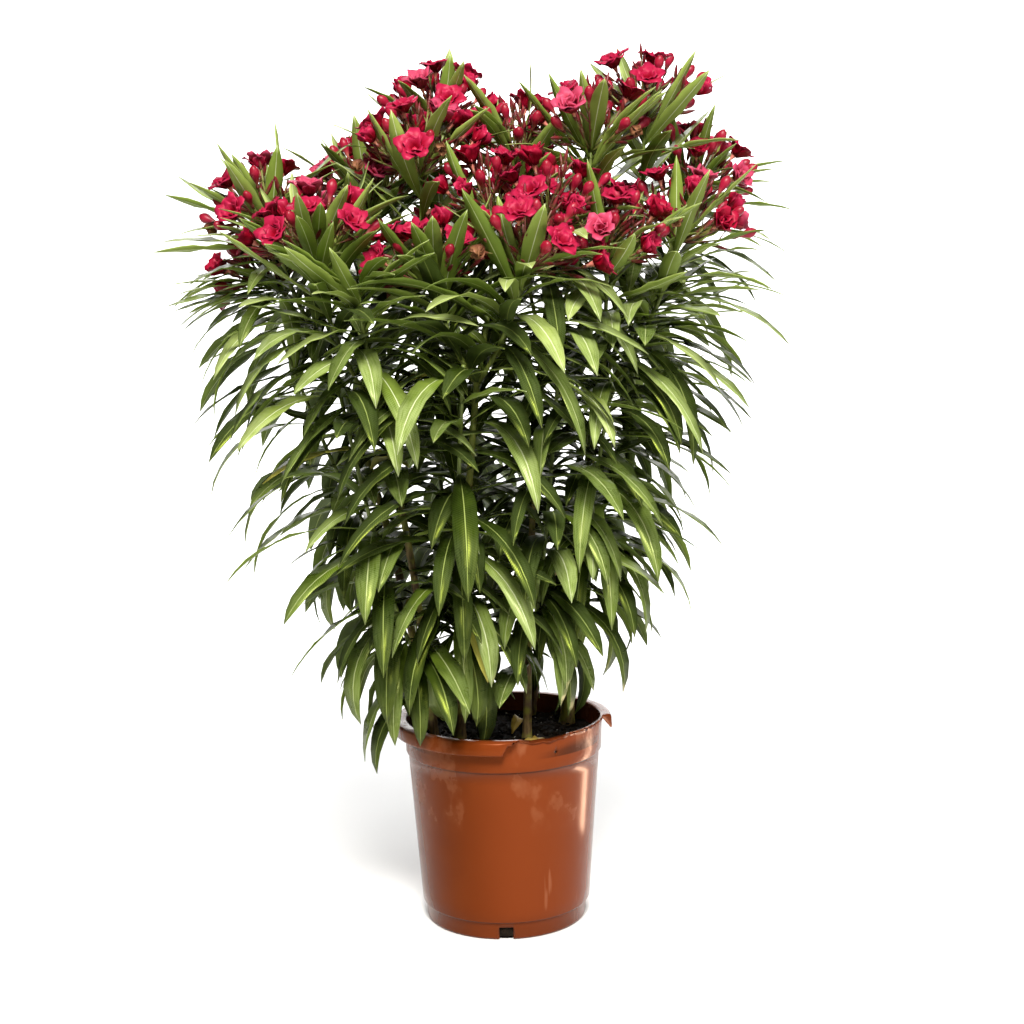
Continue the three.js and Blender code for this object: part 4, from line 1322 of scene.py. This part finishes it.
def petal_marks():
    """What changes over a petal: its edge, paler as a painted highlight, its throat, darker as painted shade,
    flushed blotches and fine veins.
    """
    group, given, made = new_group("petal_marks", ("UV", "Place"), ("EdgeHighlight", "ThroatShade", "Flush", "Veins"))
    up_petal = split_xyz(given["UV"])["Y"]
    veins = noise_node(given["UV"], 5, 3.0, 0.6, (3.2, 0.5, 1))
    blotch = noise_node(given["Place"], 70, 2.0)
    feed(made, "EdgeHighlight", ramp(plus(up_petal, times(veins, 0.35)), 0.55, 1.15))
    feed(made, "ThroatShade", ramp(up_petal, 0.30, 0.02))
    feed(made, "Flush", ramp(blotch, 0.45, 0.75))
    feed(made, "Veins", veins)
    return group


PETAL_MARKS = petal_marks()


def petal_material(name, edge, middle, throat):
    """Velvety petals: darker at the throat as painted shade, streaked along their veins, and paler at the edge as
    a painted highlight.
    """
    material, shader = new_material(name, 0.42, Specular_IOR_Level=0.3, Specular_Tint=(1.0, 0.4, 0.5, 1))
    marks = use_group(shader, PETAL_MARKS, UV=surface_uv(shader), Place=object_place(shader))
    inner = blend(marks["ThroatShade"], blend(marks["EdgeHighlight"], middle, edge), throat)
    feed(shader, "Base Color", blend(times(marks["Flush"], 0.3), inner, edge))
    feed(shader, "Normal", bump(marks["Veins"], 0.35, 0.0006))
    return material


def bud_marks():
    """What changes along a bud: how far it is from its foot, how near its tip, and streaks."""
    group, given, made = new_group("bud_marks", ("UV",), ("Body", "Tip", "Streaks"))
    up_bud = split_xyz(given["UV"])["Y"]
    streak = noise_node(given["UV"], 4, 2.0, 0.5, (4, 0.6, 1))
    feed(made, "Body", ramp(up_bud, 0.1, 0.5))
    feed(made, "Tip", ramp(up_bud, 0.62, 0.95))
    feed(made, "Streaks", ramp(streak, 0.5, 0.7))
    return group


BUD_MARKS = bud_marks()


def bud_material(name, foot, body, tip):
    """A smooth waxy skin that changes colour along the bud."""
    material, shader = new_material(name, 0.4, Specular_IOR_Level=0.35)
    marks = use_group(shader, BUD_MARKS, UV=surface_uv(shader))
    upper = blend(marks["Tip"], blend(marks["Body"], foot, body), tip)
    feed(shader, "Base Color", blend(times(marks["Streaks"], 0.3), upper, tip))
    return material


# Each petal colour: its edge, paler as a painted highlight, its middle, and its throat, darker as painted shade.
crimson = petal_material("crimson_petals", (0.34, 0.011, 0.048), (0.225, 0.001, 0.011), (0.08, 0.001, 0.003))
rose = petal_material("rose_petals", (0.45, 0.055, 0.115), (0.30, 0.006, 0.028), (0.14, 0.002, 0.010))
deep = petal_material("deep_petals", (0.29, 0.004, 0.026), (0.18, 0.001, 0.009), (0.06, 0.001, 0.003))
withered = petal_material("withered_petals", (0.22, 0.10, 0.045), (0.13, 0.05, 0.025), (0.06, 0.02, 0.012))
tube_skin = bud_material("bloom_tube_skin", (0.60, 0.44, 0.26), (0.62, 0.20, 0.15), (0.4, 0.01, 0.04))
club_skin = bud_material("club_bud_skin", (0.40, 0.16, 0.11), (0.34, 0.008, 0.036), (0.24, 0.004, 0.018))
slim_skin = bud_material("slim_bud_skin", (0.10, 0.05, 0.02), (0.16, 0.014, 0.018), (0.09, 0.006, 0.012))
calyx_skin = bud_material("calyx_skin", (0.16, 0.09, 0.03), (0.14, 0.03, 0.02), (0.10, 0.012, 0.012))
stalk_skin = mottled_material(
    "flower_stalks", 0.5, 50, 2.0, (0.14, 0.035, 0.025), (0.16, 0.17, 0.035), (0.4, 0.6)
)
blooms = zip(OPEN_BLOOMS, bloom_sets, (crimson, rose, deep, crimson))
flower_parts = [(f"blooms_{i + 1}", *bloom) for i, bloom in enumerate(blooms)] + [
    ("blooms_half_open", HALF_BLOOM, half_set, crimson),
    ("withered_blooms", HALF_BLOOM, withered_set, withered),
    ("bloom_tubes", TUBE, tube_set, tube_skin),
    ("club_buds", CLUB_BUD, club_set, club_skin),
    ("slim_buds", SLIM_BUD, slim_set, slim_skin),
    ("calyces", CALYX, calyx_set, calyx_skin),
]
for part in flower_parts:
    finish_piece(join_copies(*part))
finish_piece(join_copies("flower_stalks", STALK_TUBE, stalk_sets, stalk_skin))

# ==== Leaves ====================================================================================
# Leathery lance-shaped leaves with a pale midrib and fine side veins, half glossy above and dull below, with
# streaks of painted sheen. Young ones are bright yellow-green, old ones deep green, the deepest almost black as
# painted shade inside the crown, and a few low ones have yellowed.

# Painted sheen: pale, greyish streaks towards the leaf tips that stand for light glossing off them.
PAINTED_SHEEN_SHARE = 0.6
PAINTED_SHEEN_TINT = (0.48, 0.52, 0.32)
UNDERSIDE_TINT, UNDERSIDE_SHARE = (0.18, 0.25, 0.05), 0.3
# Each tone: its blade, its paler mottling, its midrib, roughness, amount of painted sheen and colour of gloss.
LEAF_TONES = {
    "bright": ((0.150, 0.208, 0.020), (0.250, 0.318, 0.062), (0.60, 0.65, 0.40), 0.36, 0.46, (0.98, 1.0, 0.72)),
    "fresh": ((0.086, 0.132, 0.008), (0.164, 0.228, 0.028), (0.53, 0.58, 0.33), 0.32, 0.40, (0.96, 1.0, 0.62)),
    "mature": ((0.036, 0.064, 0.002), (0.080, 0.122, 0.008), (0.40, 0.45, 0.20), 0.29, 0.20, (0.92, 1.0, 0.32)),
    # The deep tone is partly the old leaves' own dark green and partly painted shade inside the crown.
    "deep": ((0.008, 0.017, 0.001), (0.020, 0.036, 0.002), (0.24, 0.29, 0.08), 0.30, 0.08, (0.85, 1.0, 0.15)),
    "yellowed": ((0.34, 0.30, 0.03), (0.42, 0.38, 0.05), (0.48, 0.44, 0.13), 0.45, 0.2, (1.0, 1.0, 0.6)),
    "fallen": ((0.26, 0.15, 0.02), (0.40, 0.28, 0.05), (0.42, 0.32, 0.12), 0.5, 0.1, (1.0, 1.0, 0.6)),
}
YELLOWED_AGE, YELLOWED_SHARE = 0.3, 0.012
TONE_SCATTER = 0.45
TONE_STEPS = (("bright", 0.85), ("fresh", 0.52), ("mature", 0.26))
# Three withered leaves that have dropped on the compost.
LEAF_FACTS = ("base", "azimuth", "elevation", "droop", "sweep", "roll", "length", "width", "age", "seed")
FALLEN = [
    dict(zip(LEAF_FACTS, (Vector(place), *facts)))
    for place, *facts in (
        ((0.010, -0.022, 0.2065), 0.9, 1.15, 2.0, 0.9, 0.9, 0.042, 0.012, 0, 3),
        ((-0.022, -0.084, 0.2075), 0.25, 0.5, 1.3, -0.8, 1.3, 0.036, 0.011, 0, 5),
        ((0.048, -0.052, 0.206), 2.4, 0.2, 0.5, 1.6, -0.5, 0.030, 0.007, 0, 8),
    )
]

leaves = [leaf for leaf in (place_leaf(*plan) for plan in planned) if leaf is not None]


def leaf_marks():
    """What changes over a leaf: its midrib, the side veins that slant off it, mottling, and streaks of painted
    sheen towards its tip.
    """
    values = ("Rib", "Veins", "Mottle", "PaintedSheen", "Relief")
    group, given, made = new_group("leaf_marks", ("UV", "Place"), values)
    width_share, up_leaf, _ = split_xyz(given["UV"])
    across = math_node("ABSOLUTE", math_node("SUBTRACT", width_share, 0.5))
    slant = math_node("SUBTRACT", times(up_leaf, 62.0), times(across, 6.0))
    ridges = math_node("SINE", times(slant, math.tau))
    sheen_amount = noise_node(given["Place"], 11, 2.0)
    streaks = noise_node(given["UV"], 9, 2.0, 0.6, (2.4, 0.7, 1))
    outer = ramp(plus(up_leaf, times(sheen_amount, 1.6)), 1.05, 1.5)
    feed(made, "PaintedSheen", times(outer, ramp(streaks, 0.3, 0.62)))
    feed(made, "Rib", ramp(across, 0.034, 0.014))
    feed(made, "Veins", ramp(ridges, 0.5, 1.0))
    feed(made, "Mottle", noise_node(given["Place"], 45))
    feed(made, "Relief", math_node("SUBTRACT", times(ridges, 0.07), ramp(across, 0.07, 0.0)))
    return group


LEAF_MARKS = leaf_marks()


def painted_sheen_colour(bright, sheen_amount):
    """The painted sheen's colour: the leaf's own, lighter, and greyer the more sheen the tone has."""
    return tuple(mix(1.4 * part, tint, sheen_amount) for part, tint in zip(bright, PAINTED_SHEEN_TINT))


def leaf_material(name, blade, bright, rib, roughness, sheen_amount, gloss):
    """The upper skin, with the colours of its blade, its paler mottling and its midrib."""
    material, shader = new_material(name, roughness, Specular_IOR_Level=0.42, Specular_Tint=(*gloss, 1))
    marks = use_group(shader, LEAF_MARKS, UV=surface_uv(shader), Place=object_place(shader))
    skin = blend(ramp(marks["Mottle"], 0.3, 0.72), blade, bright)
    sheened = blend(times(marks["PaintedSheen"], PAINTED_SHEEN_SHARE), skin, painted_sheen_colour(bright, sheen_amount))
    veined = blend(times(marks["Veins"], 0.14), sheened, rib)
    feed(shader, "Base Color", blend(marks["Rib"], veined, rib))
    feed(shader, "Roughness", plus(times(marks["Mottle"], 0.22), roughness - 0.11))
    feed(shader, "Normal", bump(marks["Relief"], 0.55, 0.0006))
    return material


def underside_material(name, bright, rib):
    """The dull lower skin, on which the midrib stands out."""
    material, shader = new_material(name, 0.6, Specular_IOR_Level=0.2)
    marks = use_group(shader, LEAF_MARKS, UV=surface_uv(shader), Place=object_place(shader))
    blade = tuple(mix(a, b, UNDERSIDE_SHARE) for a, b in zip(bright, UNDERSIDE_TINT))
    feed(shader, "Base Color", blend(marks["Rib"], blade, rib))
    return material


def leaf_tone(leaf):
    """Which tone a leaf has, by its age, with some scatter; the oldest mostly take the deep tone, which is partly
    painted shade, and a few old ones have yellowed.
    """
    if leaf["age"] < YELLOWED_AGE and chance(leaf["seed"] + 0.93) < YELLOWED_SHARE:
        return "yellowed"
    score = leaf["age"] + TONE_SCATTER * either(leaf["seed"] + 0.91)
    return next((tone for tone, least in TONE_STEPS if score > least), "deep")


leaf_shape = leaf_template()
leaf_nodes = [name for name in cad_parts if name.startswith("leaves")]
for tone, (blade, bright, rib, *finish) in LEAF_TONES.items():
    chosen = FALLEN if tone == "fallen" else [leaf for leaf in leaves if leaf_tone(leaf) == tone]
    upper = leaf_material("leaf_" + tone, blade, bright, rib, *finish)
    lower = underside_material("leaf_underside_" + tone, bright, rib)
    bent = [bend_leaf(leaf_shape[0], leaf) for leaf in chosen]
    finish_piece(join_copies("leaves_" + tone, leaf_shape, bent, upper, lower), leaf_nodes)
    leaf_nodes = []
